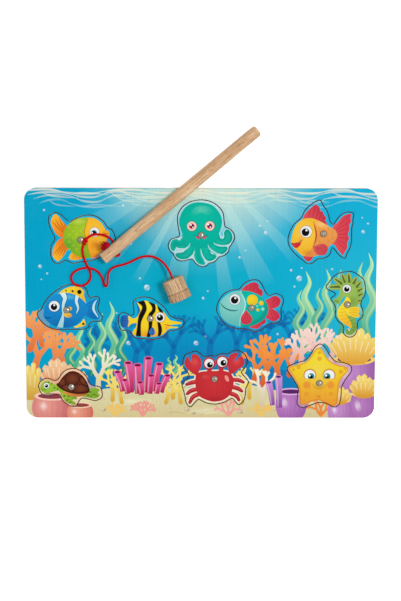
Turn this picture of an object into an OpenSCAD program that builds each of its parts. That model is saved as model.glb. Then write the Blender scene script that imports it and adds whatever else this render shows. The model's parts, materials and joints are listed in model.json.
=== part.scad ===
// Magnetic fishing game: a two-ply wooden board with ten cut-out sea creatures,
// each carrying a steel screw, and a wooden rod whose cord holds a magnet in a wooden holder.
// Millimetres, +Z up. The origin is the centre of the board's underside.

/* [Board] */
// Length of the board, along X
board_w = 300; // [290:1:360]
// Width of the board, along Y
board_h = 198; // [190:1:240]
// Radius of the board's corners
corner_r = 10; // [4:0.5:16]
// Thickness of the closed backing sheet
base_t = 3; // [2:0.5:5]
// Thickness of the sheet that the creatures are cut from
top_t = 5; // [4.5:0.5:8]
// Width of the sawn line round each creature
cut_gap = 0.8; // [0.4:0.1:1.4]

/* [Screws] */
// Diameter of a screw's head
head_d = 5.8; // [5:0.1:7]
// Height of a screw's head above the wood
head_h = 1.9; // [1.4:0.1:2.4]
// Height of the head's straight rim below its dome
rim_h = 0.5; // [0.3:0.1:0.8]
// Diameter of a screw's shank
shank_d = 2.8; // [2.2:0.1:3.4]
// Length of a screw's shank
shank_l = 3.8; // [2.5:0.1:4.2]
// Width of one arm of the cross recess
slot_w = 0.8; // [0.5:0.1:1.2]
// Length of one arm of the cross recess, end to end
slot_l = 3.4; // [2.6:0.1:4]
// Depth of the cross recess
slot_deep = 1.1; // [0.6:0.1:1.3]

/* [Rod] */
// Diameter of the rod
rod_d = 10; // [8:0.5:13]
// Length of the rod
rod_len = 170; // [140:1:220]
// Rounding of the rod's end edges
rod_edge = 0.8; // [0.3:0.1:1.5]
// Angle of the rod to the board's length, seen from above
rod_angle = 39.8; // [34:0.2:46]
// Distance from the rod's inner end to the cord hole
hole_in = 9.8; // [8:0.2:14]
// Diameter of the cord hole through the rod
hole_d = 3; // [2.4:0.1:3.6]
// Diameter of the cord hole's countersunk mouths
mouth_d = 5.4; // [4.6:0.1:6]

/* [Cord] */
// Diameter of the cord
cord_d = 1.7; // [1.4:0.1:2]

/* [Magnet holder] */
// Diameter of the holder's turned body
body_d = 18.4; // [16:0.1:21]
// Length of the holder's turned body
body_l = 12.4; // [11:0.1:16]
// Rounding of the body's edge at the cord end
body_edge = 1.4; // [0.5:0.1:2.5]
// Diameter of the cap disc
cap_d = 19; // [17:0.1:22]
// Length of the cap disc
cap_l = 6.8; // [5.5:0.1:9]
// Rounding of the cap's outer edge
cap_edge = 0.8; // [0.3:0.1:1.5]
// Size of each chamfer that makes the groove between body and cap
groove = 0.6; // [0.3:0.1:1]
// Diameter of the body's cord bore
bore_d = 2.6; // [2.2:0.1:3.2]
// Diameter of the knot recess in the body
recess_d = 9; // [8:0.1:11]
// Depth of the knot recess in the body
recess_deep = 6.6; // [6.2:0.1:7.5]
// Length of the cap's spigot in the recess
spigot_l = 1.6; // [1:0.1:1.8]
// Diameter of the magnet
magnet_d = 12; // [8:0.5:14]
// Thickness of the magnet
magnet_t = 3; // [2:0.5:4]
// Angle of the holder's axis, from its cord end to its magnet end
holder_angle = -67; // [-80:1:-50]

/* [Hidden] */

$fn = 64;
board_t = base_t + top_t;

// Gap left under things that lie on the board
rest_gap = 0.02;
// Radial clearance of a glued or driven fit
fit_gap = 0.05;
// Points that a curve gets between two of its drawn points
outline_steps = 3;
cord_steps = 2;
cord_sides = 8;
// Steps of a small rounded edge, and overshoot of a cutting tool
edge_steps = 4;
cut_over = 1;

// Stopper knots: slack of the turns round the core, their lean and the tail's lean in degrees,
// how deep the rod's knot sits, and the tail on each knot
knot_slack = 0.6;
turn_lean = 16;
tail_lean = 65;
knot_deep = 0.6;
rod_tail = 5;
holder_tail = 2.3;

rod_r = rod_d / 2;
cord_r = cord_d / 2;
body_r = body_d / 2;
cap_r = cap_d / 2;
holder_l = body_l + cap_l;

// Each creature's outline goes clockwise round its own middle, at full size. A closed smooth
// curve runs through the points, along the middle of the saw cut.
green_fish_outline = [
    [-28, 19], [-23.5, 22], [-18.5, 20.5], [-14, 16.5], [-11, 14.5], [-7, 16], [-1, 19],
    [6, 20], [12.5, 18.5], [18, 14.5], [21.5, 9.5], [25, 7.5], [27, 4], [28, -1], [26, -7],
    [20.5, -12.5], [14, -16.5], [6, -19], [-2, -20], [-8.5, -21], [-14, -18.5], [-17.5, -20],
    [-21, -21.5], [-25, -19.5], [-27, -14], [-26.5, -6.5], [-24, -2], [-23.5, 1], [-26, 6],
    [-28.5, 13]
];
octopus_outline = [
    [-20, 10], [-19.5, 17], [-15.5, 23.5], [-9, 27.5], [-1, 29], [7, 28], [14, 24], [18.5, 18],
    [19.5, 11], [20.5, 6.5], [24, 4.5], [27.5, 1], [28.5, -3.5], [26, -8.5], [24, -11.5],
    [23, -15.5], [19, -18.5], [15.5, -19.5], [11.5, -23.5], [7, -25], [4.5, -27], [1, -28],
    [-4, -25.5], [-8, -21.5], [-15.5, -23], [-20.5, -22], [-23.5, -17.5], [-27, -13.5],
    [-28, -9], [-25.5, -4.5], [-21, -3], [-18.5, -1], [-19, 3.5]
];
goldfish_outline = [
    [-28, -6], [-26.5, 0], [-23, 6.5], [-17, 12], [-14, 18], [-8.5, 23.5], [-1.5, 27],
    [1.5, 22.5], [4.5, 18.5], [6.5, 13], [7.5, 9], [10.5, 6.5], [13.5, 11], [18, 15.5],
    [23, 17], [27.5, 15.5], [27, 11.5], [27, 7.5], [26, 2.5], [26, -3], [26, -7.5], [25, -13],
    [22.5, -18], [20.5, -22.5], [15.5, -19.5], [10, -13.5], [7.5, -19.5], [2.5, -22.5],
    [-2.5, -23], [-7, -26.5], [-11.5, -27], [-15.5, -24], [-20.5, -20], [-25.5, -14.5],
    [-27.5, -10.5]
];
blue_fish_outline = [
    [-28, -6], [-24.5, -2.5], [-22, 2.5], [-18, 8], [-11.5, 13.5], [-4.5, 17.5], [3, 19],
    [10.5, 17.5], [14.5, 14], [15.5, 10], [17.5, 7.5], [22.5, 8.5], [25.5, 6], [24, 0],
    [24.5, -4.5], [27.5, -9], [26, -13], [20.5, -13], [17, -14.5], [15, -18.5], [10, -20],
    [-1, -20], [-12, -20], [-19.5, -17.5], [-25.5, -12]
];
striped_fish_outline = [
    [-28, 2], [-25, 4.5], [-21, 3.5], [-18, 2], [-15.5, 3.5], [-15.5, 8.5], [-16, 13.5],
    [-12.5, 17], [-6, 18], [0.5, 16.5], [6.5, 12.5], [11.5, 8], [15.5, 2], [20.5, -0.5],
    [26, -1.5], [27.5, -4], [25.5, -8], [20, -10.5], [14.5, -11.5], [10, -16], [2.5, -18.5],
    [-6.5, -18], [-14.5, -17], [-18, -12.5], [-21, -10.5], [-26, -10.5], [-28.5, -5]
];
round_fish_outline = [
    [-28.5, -1], [-26.5, 5.5], [-22, 11], [-16, 14], [-9.5, 15], [-5.5, 19.5], [0, 22.5],
    [6.5, 22.5], [10, 19], [13, 13], [16, 9.5], [21.5, 11], [27, 9], [28.5, 4], [26.5, -2.5],
    [27, -9.5], [24, -14], [18.5, -14.5], [14, -16.5], [9, -20.5], [3.5, -21.5], [-2.5, -19.5],
    [-11, -19], [-18.5, -17], [-24.5, -11.5], [-28, -5.5]
];
seahorse_outline = [
    [-17, 15.5], [-14.5, 19], [-12.5, 22], [-9.5, 25], [-5.5, 27], [0, 28], [5, 28], [10.5, 25],
    [15, 21], [16.5, 14], [16, 7.5], [13.5, 3.5], [13, -1], [14.5, -5], [14.5, -10.5],
    [10.5, -15], [10, -22], [7.5, -27], [3, -28.5], [-1, -26], [-2, -22.5], [-2, -18.5],
    [-6.5, -14.5], [-9, -9.5], [-8.5, -4], [-10.5, 1], [-13, 4.5], [-10.5, 7], [-9, 9],
    [-12, 11], [-15.5, 12.5]
];
turtle_outline = [
    [-27.5, 0], [-25.5, 5], [-20, 7.5], [-14, 5.5], [-10.5, 7], [-7.5, 11.5], [-3, 15], [3, 16],
    [8.5, 14], [13.5, 9], [16, 3.5], [19.5, 1], [25, 0], [27, -4.5], [26.5, -9.5], [21, -12],
    [14.5, -10.5], [9.5, -10], [6.5, -13.5], [4.5, -17], [-1, -16.5], [-6.5, -12.5],
    [-9.5, -7.5], [-13, -6.5], [-19, -8], [-24.5, -6.5]
];
crab_outline = [
    [-27.5, 14], [-26, 20.5], [-21.5, 23], [-16, 24], [-12, 21.5], [-8.5, 19.5], [-3, 20.5],
    [0.5, 20], [5, 22], [11, 22], [16, 24.5], [21, 24.5], [26, 21], [28, 15.5], [26, 10],
    [23, 6], [26, 2], [29, -2.5], [27, -8], [26.5, -13], [25, -19], [21, -22.5], [18, -20],
    [15, -17], [9, -20], [1, -22], [-7, -21], [-13.5, -18], [-17, -20.5], [-21, -24.5],
    [-24.5, -21], [-25.5, -15.5], [-27, -9.5], [-28, -4], [-23, 1], [-22.5, 4.5], [-26, 8.5]
];
starfish_outline = [
    [-27.5, 5], [-25, 9], [-18, 11.5], [-12, 13.5], [-7.5, 18.5], [-4, 24.5], [0.5, 27.5],
    [5, 24], [9, 17.5], [14, 12.5], [21.5, 11], [27, 8.5], [27.5, 3.5], [23, -3], [19.5, -10],
    [19, -18], [17.5, -25], [13, -27.5], [6.5, -24.5], [0.5, -23.5], [-6, -25.5], [-14, -28],
    [-18.5, -25], [-18.5, -18], [-18, -11], [-21.5, -4.5]
];

// Each creature's place on the board, as shares of half the board's length and half its width
green_fish_at = [-0.673, 0.566];
octopus_at = [0, 0.606];
goldfish_at = [0.68, 0.626];
blue_fish_at = [-0.747, -0.02];
striped_fish_at = [-0.28, -0.121];
round_fish_at = [0.28, -0.02];
seahorse_at = [0.827, 0];
turtle_at = [-0.747, -0.727];
crab_at = [0.08, -0.657];
starfish_at = [0.68, -0.626];

// Each creature's screw, measured from its middle, and the turn of its cross recess
green_fish_screw = [-1.3, -1.2, 20];
octopus_screw = [0.2, -0.9, 52];
goldfish_screw = [2.2, -1.6, 35];
blue_fish_screw = [-2.7, -3.3, 12];
striped_fish_screw = [-1.3, -0.5, 70];
round_fish_screw = [1.3, -1.3, 30];
seahorse_screw = [1.3, -0.2, 58];
turtle_screw = [0.7, 0, 5];
crab_screw = [0, 0, 40];
starfish_screw = [0.3, -6.7, 48];

outlines = [
    green_fish_outline, octopus_outline, goldfish_outline, blue_fish_outline,
    striped_fish_outline, round_fish_outline, seahorse_outline, turtle_outline, crab_outline,
    starfish_outline
];
places = [
    green_fish_at, octopus_at, goldfish_at, blue_fish_at, striped_fish_at, round_fish_at,
    seahorse_at, turtle_at, crab_at, starfish_at
];
screw_places = [
    green_fish_screw, octopus_screw, goldfish_screw, blue_fish_screw, striped_fish_screw,
    round_fish_screw, seahorse_screw, turtle_screw, crab_screw, starfish_screw
];

// Where the inner end of the rod and the cord end of the holder lie on the board
rod_at = [-83, 39.3];
holder_at = [-24.3, 22.7];

// The cord's route: X and Y on the board's grid, and how far it is lifted off the board.
// It starts at the knot, runs through the rod, turns down and passes under the rod. A smooth
// curve follows these points and keeps just inside each turn.
cord_route = [
    [-78.3, 48.9, 6], [-76.1, 46.3, 6], [-72.4, 41.6, 6.3], [-69.5, 41.5, 3], [-69.3, 44.2, 0],
    [-73.1, 48.8, 0], [-74.9, 54.4, 0], [-78.6, 57.6, 0], [-83.6, 59.4, 0], [-89.6, 60, 0],
    [-95.4, 58.2, 0], [-99.3, 53.3, 0], [-101.3, 46.8, 0], [-100.1, 40, 0], [-97.4, 33.4, 0],
    [-94, 27.8, 0], [-93.7, 21.4, 0], [-98, 16.2, 0], [-104.8, 15, 0], [-110.7, 18.8, 0],
    [-111, 25, 0.4], [-106, 29.4, 1.8], [-99.6, 31.5, 2.2], [-93, 31.2, 1.8], [-87.2, 28, 0.4],
    [-83.9, 22.4, 0], [-83, 17, 0], [-80.9, 15, 3.4], [-79.3, 17, 6.8], [-79.3, 22.6, 6.2],
    [-78.7, 29.2, 2.2], [-73, 32.6, 0], [-66, 33.7, 0], [-59.2, 36.4, 0], [-51.8, 40.6, 0],
    [-43.6, 41.7, 0.4], [-36.2, 39.7, 2.8], [-29.6, 34.2, 6.6], [-25.7, 27, 8.2],
    [-22.1, 17.4, 8.5]
];

function unit(v) = v / norm(v);
function on_board(place, z) = [place.x * board_w / 2, place.y * board_h / 2, z];
function turned(v) = [-v.y, v.x];
function spline(a, b, c, d, u) =
    0.5 * (2 * b + u * (c - a) + u * u * (2 * a - 5 * b + 4 * c - d) + u * u * u * (3 * b - a - 3 * c + d));

// A smooth closed curve through the points
function closed_curve(points) =
    let (n = len(points))
    [
        for (i = [0:n - 1], k = [0:outline_steps - 1])
            spline(points[(i + n - 1) % n], points[i], points[(i + 1) % n], points[(i + 2) % n], k / outline_steps)
    ];

// The same closed curve moved outwards by a distance, or inwards if it is negative
function grown(curve, by) =
    let (n = len(curve))
    [for (i = [0:n - 1]) curve[i] + by * unit(turned(curve[(i + 1) % n] - curve[(i + n - 1) % n]))];

// One step of an even curve that is drawn along the points and rounds them off
function rounded(a, b, c, d, u) =
    ((1 - u) ^ 3 * a + (3 * u ^ 3 - 6 * u ^ 2 + 4) * b + (1 + 3 * u + 3 * u ^ 2 - 3 * u ^ 3) * c + u ^ 3 * d) / 6;

// A smooth open curve from the first point to the last
function open_curve(points) =
    let (n = len(points))
    let (p = concat([2 * points[0] - points[1]], points, [2 * points[n - 1] - points[n - 2]]))
    concat(
        [for (i = [1:n - 1], k = [0:cord_steps - 1]) rounded(p[i - 1], p[i], p[i + 1], p[i + 2], k / cord_steps)],
        [points[n - 1]]
    );

// Quarter arc of a profile from angle a0 to a0 + 90 or a0 - 90
function edge_arc(centre, r, a0, way = 1) =
    [for (i = [0:edge_steps]) centre + r * [cos(a0 + way * 90 * i / edge_steps), sin(a0 + way * 90 * i / edge_steps)]];

// The rod lies on the board's far edge and, a step along from its hole, on the cord
cord_step = 3.9;
edge_t = (board_h / 2 - rod_at.y) / sin(rod_angle);
cord_t = hole_in + cord_step;
rod_tilt = atan((cord_d + fit_gap) / (edge_t - cord_t));
rod_axis_z = board_t + rest_gap + rod_r / cos(rod_tilt) + edge_t * tan(rod_tilt);

// The holder lies on its body near the cord end and on the cap beside the groove
holder_tilt = atan((cap_r - body_r) / (body_l + groove - body_edge));
holder_axis_z = board_t + rest_gap + body_r * cos(holder_tilt) - body_edge * sin(holder_tilt);

module board_outline() {
    translate([-board_w / 2 + corner_r, -board_h / 2]) square([board_w - 2 * corner_r, board_h]);
    translate([-board_w / 2, -board_h / 2 + corner_r]) square([board_w, board_h - 2 * corner_r]);
    for (x = [-1, 1], y = [-1, 1])
        translate([x * (board_w / 2 - corner_r), y * (board_h / 2 - corner_r)]) circle(corner_r);
}

module base_board() {
    color("burlywood") linear_extrude(base_t) board_outline();
}

module top_board() {
    color("deepskyblue") difference() {
        translate([0, 0, base_t]) linear_extrude(top_t) board_outline();
        for (i = [0:len(outlines) - 1])
            translate(on_board(places[i], base_t - cut_over)) linear_extrude(top_t + 2 * cut_over)
                polygon(grown(closed_curve(outlines[i]), cut_gap / 2));
    }
}

// A creature sawn from the top sheet, with a blind hole for its screw
module creature(outline, place, screw_at) {
    translate(on_board(place, base_t)) difference() {
        linear_extrude(top_t) polygon(grown(closed_curve(outline), -cut_gap / 2));
        translate([screw_at.x, screw_at.y, top_t - shank_l - fit_gap])
            cylinder(d = shank_d + 2 * fit_gap, h = shank_l + cut_over, $fn = 32);
    }
}

module green_fish() {
    color("yellowgreen") creature(green_fish_outline, green_fish_at, green_fish_screw);
}

module octopus() {
    color("lightseagreen") creature(octopus_outline, octopus_at, octopus_screw);
}

module goldfish() {
    color("orange") creature(goldfish_outline, goldfish_at, goldfish_screw);
}

module blue_fish() {
    color("royalblue") creature(blue_fish_outline, blue_fish_at, blue_fish_screw);
}

module striped_fish() {
    color("gold") creature(striped_fish_outline, striped_fish_at, striped_fish_screw);
}

module round_fish() {
    color("turquoise") creature(round_fish_outline, round_fish_at, round_fish_screw);
}

module seahorse() {
    color("olivedrab") creature(seahorse_outline, seahorse_at, seahorse_screw);
}

module turtle() {
    color("saddlebrown") creature(turtle_outline, turtle_at, turtle_screw);
}

module crab() {
    color("crimson") creature(crab_outline, crab_at, crab_screw);
}

module starfish() {
    color("goldenrod") creature(starfish_outline, starfish_at, starfish_screw);
}

// A short screw with a domed head and a cross recess, its head's underside at Z = 0
module screw() {
    dome_r = ((head_d / 2) ^ 2 + (head_h - rim_h) ^ 2) / (2 * (head_h - rim_h));
    difference() {
        intersection() {
            cylinder(d = head_d, h = head_h, $fn = 32);
            translate([0, 0, head_h - dome_r]) sphere(dome_r, $fn = 32);
        }
        for (a = [0, 90])
            rotate(a) translate([-slot_l / 2, -slot_w / 2, head_h - slot_deep]) cube([slot_l, slot_w, head_h]);
    }
    translate([0, 0, -shank_l]) cylinder(d = shank_d, h = shank_l + rim_h / 2, $fn = 32);
}

module screws() {
    color("silver") for (i = [0:len(screw_places) - 1])
        translate(on_board(places[i], board_t)) translate([screw_places[i].x, screw_places[i].y])
            rotate(screw_places[i].z) screw();
}

// Local Z runs along the rod from its inner end, and local Y points to its left
module on_rod() {
    translate([rod_at.x, rod_at.y, rod_axis_z]) rotate([0, 90 + rod_tilt, rod_angle]) children();
}

module rod() {
    mouth_deep = (mouth_d - hole_d) / 2;
    profile = concat(
        [[0, 0]],
        edge_arc([rod_r - rod_edge, rod_edge], rod_edge, -90),
        edge_arc([rod_r - rod_edge, rod_len - rod_edge], rod_edge, 0),
        [[0, rod_len]]
    );
    color("tan") on_rod() difference() {
        rotate_extrude() polygon(profile);
        translate([0, 0, hole_in]) rotate([90, 0, 0]) {
            cylinder(d = hole_d, h = rod_d + 2 * cut_over, center = true);
            for (side = [0, 180])
                rotate([side, 0, 0]) translate([0, 0, rod_r - mouth_deep])
                    cylinder(d1 = hole_d, d2 = mouth_d + 2 * cut_over, h = mouth_deep + cut_over);
        }
    }
}

module cord() {
    points = [for (p = open_curve(cord_route)) [p.x, p.y, board_t + cord_r + rest_gap + max(0, p.z)]];
    last = len(points) - 1;
    along = [for (i = [0:last]) unit(points[min(i + 1, last)] - points[max(i - 1, 0)])];
    sides = [
        for (i = 0, s = cross(along[0], [0, 0, 1]); i <= last;
            i = i + 1, s = i <= last ? s - (s * along[i]) * along[i] : s) unit(s)
    ];
    rings = [
        for (i = [0:last], k = [0:cord_sides - 1])
            let (a = 360 * k / cord_sides)
            points[i] + cord_r * (cos(a) * sides[i] + sin(a) * cross(along[i], sides[i]))
    ];
    walls = [
        for (i = [0:last - 1], k = [0:cord_sides - 1])
            let (next = (k + 1) % cord_sides)
            [i * cord_sides + k, (i + 1) * cord_sides + k, (i + 1) * cord_sides + next, i * cord_sides + next]
    ];
    start_cap = [for (k = [0:cord_sides - 1]) k];
    end_cap = [for (k = [cord_sides - 1:-1:0]) last * cord_sides + k];
    color("red") polyhedron(rings, concat([start_cap], walls, [end_cap]));
}

// A stopper knot: the cord end in the middle, two turns round it and a short tail.
// Its seat is at Z = 0, and the tail points towards local Y.
module stopper_knot(tail_l) {
    turn_r = cord_r + knot_slack;
    low_turn = cord_r + turn_r * sin(turn_lean) + fit_gap;
    high_turn = low_turn + 1.25 * cord_r;
    cylinder(r = cord_r, h = high_turn + 0.8 * cord_r, $fn = 24);
    for (side = [-1, 1])
        translate([0, 0, side < 0 ? low_turn : high_turn]) rotate([side * turn_lean, 0, 0])
            rotate_extrude($fn = 24) translate([turn_r, 0]) circle(cord_r, $fn = 16);
    translate([0, turn_r / 2, high_turn]) rotate([-tail_lean, 0, 0]) cylinder(r = cord_r, h = tail_l, $fn = 16);
}

// The knot is pulled a little way into the rod's left mouth
module rod_knot() {
    color("firebrick") on_rod() translate([0, rod_r - knot_deep, hole_in]) rotate([-90, 0, 0]) stopper_knot(rod_tail);
}

// Local Z runs along the holder from its cord end
module on_holder() {
    translate([holder_at.x, holder_at.y, holder_axis_z])
        rotate([0, 90 - holder_tilt, holder_angle]) children();
}

module magnet_holder() {
    profile = concat(
        [[bore_d / 2, 0]],
        edge_arc([body_r - body_edge, body_edge], body_edge, -90),
        [
            [body_r, body_l - groove], [body_r - groove, body_l], [recess_d / 2, body_l],
            [recess_d / 2, body_l - recess_deep], [bore_d / 2, body_l - recess_deep]
        ]
    );
    color("burlywood") on_holder() rotate_extrude() polygon(profile);
}

module holder_cap() {
    spigot_r = recess_d / 2 - fit_gap;
    pocket_r = magnet_d / 2 + fit_gap;
    profile = concat(
        [[0, -spigot_l], [spigot_r, -spigot_l], [spigot_r, 0], [cap_r - groove, 0], [cap_r, groove]],
        edge_arc([cap_r - cap_edge, cap_l - cap_edge], cap_edge, 0),
        [[pocket_r, cap_l], [pocket_r, cap_l - magnet_t], [0, cap_l - magnet_t]]
    );
    color("tan") on_holder() translate([0, 0, body_l]) rotate_extrude() polygon(profile);
}

module magnet() {
    color("dimgray") on_holder() translate([0, 0, holder_l - magnet_t]) cylinder(d = magnet_d, h = magnet_t);
}

module holder_knot() {
    color("firebrick") on_holder() translate([0, 0, body_l - recess_deep]) stopper_knot(holder_tail);
}

base_board();
top_board();
green_fish();
octopus();
goldfish();
blue_fish();
striped_fish();
round_fish();
seahorse();
turtle();
crab();
starfish();
screws();
rod();
cord();
rod_knot();
magnet_holder();
holder_cap();
magnet();
holder_knot();
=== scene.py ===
"""Magnetic fishing game: a printed wooden board of loose sea creatures, a rod, and a magnet on a red cord.

Lengths in the tables below are millimetres on the board: X to the right, Y up the picture, Z up from the table.
"""

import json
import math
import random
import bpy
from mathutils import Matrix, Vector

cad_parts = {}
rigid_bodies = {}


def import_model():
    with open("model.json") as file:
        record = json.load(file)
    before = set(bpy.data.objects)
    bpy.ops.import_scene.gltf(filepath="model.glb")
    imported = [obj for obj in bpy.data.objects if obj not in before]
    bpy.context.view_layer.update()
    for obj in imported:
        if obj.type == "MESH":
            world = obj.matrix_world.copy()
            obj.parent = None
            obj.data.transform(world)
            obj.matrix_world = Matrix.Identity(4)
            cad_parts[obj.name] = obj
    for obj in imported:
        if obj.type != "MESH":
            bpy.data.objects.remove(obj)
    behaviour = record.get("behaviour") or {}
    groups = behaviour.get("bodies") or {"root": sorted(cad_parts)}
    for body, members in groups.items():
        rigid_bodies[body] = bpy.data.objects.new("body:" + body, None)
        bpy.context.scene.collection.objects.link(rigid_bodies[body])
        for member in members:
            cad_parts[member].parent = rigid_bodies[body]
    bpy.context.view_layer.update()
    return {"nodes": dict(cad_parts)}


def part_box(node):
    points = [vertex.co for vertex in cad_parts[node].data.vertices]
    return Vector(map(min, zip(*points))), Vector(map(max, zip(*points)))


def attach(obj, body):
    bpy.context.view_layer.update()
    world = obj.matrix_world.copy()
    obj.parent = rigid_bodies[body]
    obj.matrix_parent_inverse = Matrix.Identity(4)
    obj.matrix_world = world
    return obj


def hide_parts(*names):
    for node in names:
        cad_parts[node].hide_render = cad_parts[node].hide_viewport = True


bl_info = {
    "name": "Magnetic fishing game",
    "version": (1, 0, 0),
    "blender": (4, 5, 0),
    "location": "View3D > Sidebar > Fishing game",
    "description": "Builds the printed board, its creatures, the rod and the magnet on a cord",
    "category": "Add Mesh",
}

import bmesh
import bpy
from bpy.props import FloatProperty, FloatVectorProperty, PointerProperty
from mathutils import Euler, Matrix, Vector, geometry

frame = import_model()

MM = 0.001
# level of the base board's top and of the printed top
BASE_T, BOARD_T = 3.0, 8.0
CORD_R = 0.85
CORD_GAP = 0.02
VENEER = 1.35
# the soft braid lies this many times as wide as its round diameter, and as much flatter
CORD_SPREAD = 1.15
# where the cord crosses the rod, and where the recess in the holder begins, along their axes
ROD_HOLE, HOLDER_RECESS = 9.8, 5.8
# how far a sawn edge is eased, and the colour of a wall that meets no print
EASE, UNPRINTED = 0.22, (0.03, 0.03, 0.03, 1)
ROD_AT, ROD_TURN = (-83.0, 39.3, 15.0725), (0.0, 1.26, 39.8)
HOLDER_AT, HOLDER_TURN = (-24.3, 22.7, 17.1807), (0.0, -1.4816, -67.0)
# X, Y and turn in degrees of each creature's screw
SCREWS = (
    (-102.3, 54.8, 20), (0.2, 59.1, 52), (104.2, 60.4, 35), (-114.7, -5.3, 12), (-43.3, -12.5, 70),
    (43.3, -3.3, 30), (125.3, -0.2, 58), (-111.3, -72.0, 5), (12.0, -65.0, 40), (102.3, -68.7, 48),
)
# the half hitch on the cord, and the steps each of its loops is drawn in
HITCH_AT, HITCH_STEPS = (-99.1, 53.5), 36
# X, Y and lift above the board of the cord's route, from the rod's mouth to the holder
CORD_ROUTE = (
    (-78.3, 48.9, 6), (-76.1, 46.3, 6), (-72.4, 41.6, 6.3), (-69.5, 41.5, 3), (-69.3, 44.2, 0), (-73.1, 48.8, 0),
    (-74.9, 54.4, 0), (-78.6, 57.6, 0), (-83.6, 59.4, 0), (-89.6, 60, 0), (-95.4, 58.2, 0), (-99.3, 53.3, 0),
    (-101.3, 46.8, 0), (-100.1, 40, 0), (-97.4, 33.4, 0), (-94, 27.8, 0), (-93.7, 21.4, 0), (-98, 16.2, 0),
    (-104.8, 15, 0), (-110.7, 18.8, 0), (-111, 25, 0.4), (-106, 29.4, 1.8), (-99.6, 31.5, 2.2), (-93, 31.2, 1.8),
    (-87.2, 28, 0.4), (-83.9, 22.4, 0), (-83, 17, 0), (-80.9, 15, 3.4), (-79.3, 17, 6.8), (-79.3, 22.6, 6.2),
    (-78.7, 29.2, 2.2), (-73, 32.6, 0), (-66, 33.7, 0), (-59.2, 36.4, 0), (-51.8, 40.6, 0), (-43.6, 41.7, 0.4),
    (-36.2, 39.7, 2.8), (-29.6, 34.2, 6.6), (-25.7, 27, 8.2), (-22.1, 17.4, 8.5),
)


# ---------------------------------------------------------------- small helpers

def linear(code):
    """A colour written as six hex digits, as linear red, green and blue."""
    parts = [int(code[i:i + 2], 16) / 255 for i in (0, 2, 4)]
    return tuple(c / 12.92 if c <= 0.04045 else ((c + 0.055) / 1.055) ** 2.4 for c in parts)


def mixed(a, b, t):
    """A value or tuple between a and b."""
    t = min(1.0, max(0.0, t))
    return tuple(x + (y - x) * t for x, y in zip(a, b))


def placed(at, turn):
    """The matrix of a part whose local Z runs along its axis, in metres."""
    stand = Euler((0, math.radians(90 + turn[1]), math.radians(turn[2])), "XYZ").to_matrix().to_4x4()
    return Matrix.Translation(Vector(at) * MM) @ stand


def as_object(name, bm):
    """Turns a bmesh into an object in the scene."""
    mesh = bpy.data.meshes.new(name)
    bm.to_mesh(mesh)
    bm.free()
    obj = bpy.data.objects.new(name, mesh)
    bpy.context.scene.collection.objects.link(obj)
    return obj


def smoothed(mesh, angle):
    """Shades a mesh smooth but for edges sharper than an angle in degrees."""
    mesh.shade_smooth()
    mesh.set_sharp_from_angle(angle=math.radians(angle))


def piece(name, bm, materials, smooth, stands_for=()):
    """Turns a bmesh into a piece of the toy that moves with its one body."""
    obj = as_object(name, bm)
    for material in materials:
        obj.data.materials.append(material)
    smoothed(obj.data, smooth)
    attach(obj, "root")
    if stands_for:
        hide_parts(*stands_for)
    return obj


def rotate(bm, verts, degrees, axis="Z"):
    bmesh.ops.rotate(bm, cent=(0, 0, 0), matrix=Matrix.Rotation(math.radians(degrees), 3, axis), verts=verts)


def cut_out(obj, shape):
    """Takes a bmesh's shape out of a piece."""
    cutter = as_object("cutter", shape)
    cutter.parent = obj.parent
    modifier = obj.modifiers.new("cut", "BOOLEAN")
    modifier.object = cutter
    modifier.solver = "EXACT"
    modifier.use_self = True
    bpy.context.view_layer.update()
    shaped = bpy.data.meshes.new_from_object(obj.evaluated_get(bpy.context.evaluated_depsgraph_get()))
    if len(shaped.vertices) <= len(cutter.data.vertices) // 2:
        raise RuntimeError("the cut left nothing of " + obj.name)
    bm = bmesh.new()
    bm.from_mesh(shaped)
    bmesh.ops.remove_doubles(bm, verts=bm.verts, dist=2e-6)
    bmesh.ops.dissolve_degenerate(bm, dist=1e-6, edges=bm.edges)
    bm.to_mesh(shaped)
    bm.free()
    obj.modifiers.clear()
    used_up = (obj.data, cutter.data)
    obj.data = shaped
    bpy.data.objects.remove(cutter)
    for mesh in used_up:
        bpy.data.meshes.remove(mesh)
    shaped.name = obj.name


def turned(profile, sides):
    """A turned solid: a profile of radius and height in millimetres, spun round Z and closed at its poles."""
    bm = bmesh.new()
    points = [bm.verts.new((r * MM, 0, z * MM)) for r, z in profile]
    line = [bm.edges.new(pair) for pair in zip(points, points[1:])]
    bmesh.ops.spin(
        bm, geom=points + line, cent=(0, 0, 0), axis=(0, 0, 1), dvec=(0, 0, 0),
        angle=math.tau, steps=sides, use_merge=True, use_duplicate=False,
    )
    bmesh.ops.remove_doubles(bm, verts=bm.verts, dist=1e-6)
    bmesh.ops.dissolve_degenerate(bm, dist=1e-7, edges=bm.edges)
    bmesh.ops.recalc_face_normals(bm, faces=bm.faces)
    return bm


def arc(x, y, r, first, last, steps=6):
    """Points on an arc, for a rounded edge in a profile. Angles in degrees."""
    turns = [math.radians(first + (last - first) * i / steps) for i in range(steps + 1)]
    return [(x + r * math.cos(t), y + r * math.sin(t)) for t in turns]


def spline(points, steps):
    """A smooth line by uniform cubic B-spline that starts and ends on its first and last points."""
    points = [Vector(p) for p in points]
    points = [2 * points[0] - points[1], *points, 2 * points[-1] - points[-2]]
    line = []
    for i in range(len(points) - 3):
        a, b, c, d = points[i:i + 4]
        for k in range(steps):
            u = k / steps
            line.append(
                ((1 - u) ** 3 * a + (3 * u ** 3 - 6 * u * u + 4) * b
                 + (1 + 3 * u + 3 * u * u - 3 * u ** 3) * c + u ** 3 * d) / 6
            )
    line.append(points[-2].copy())
    return line


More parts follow.
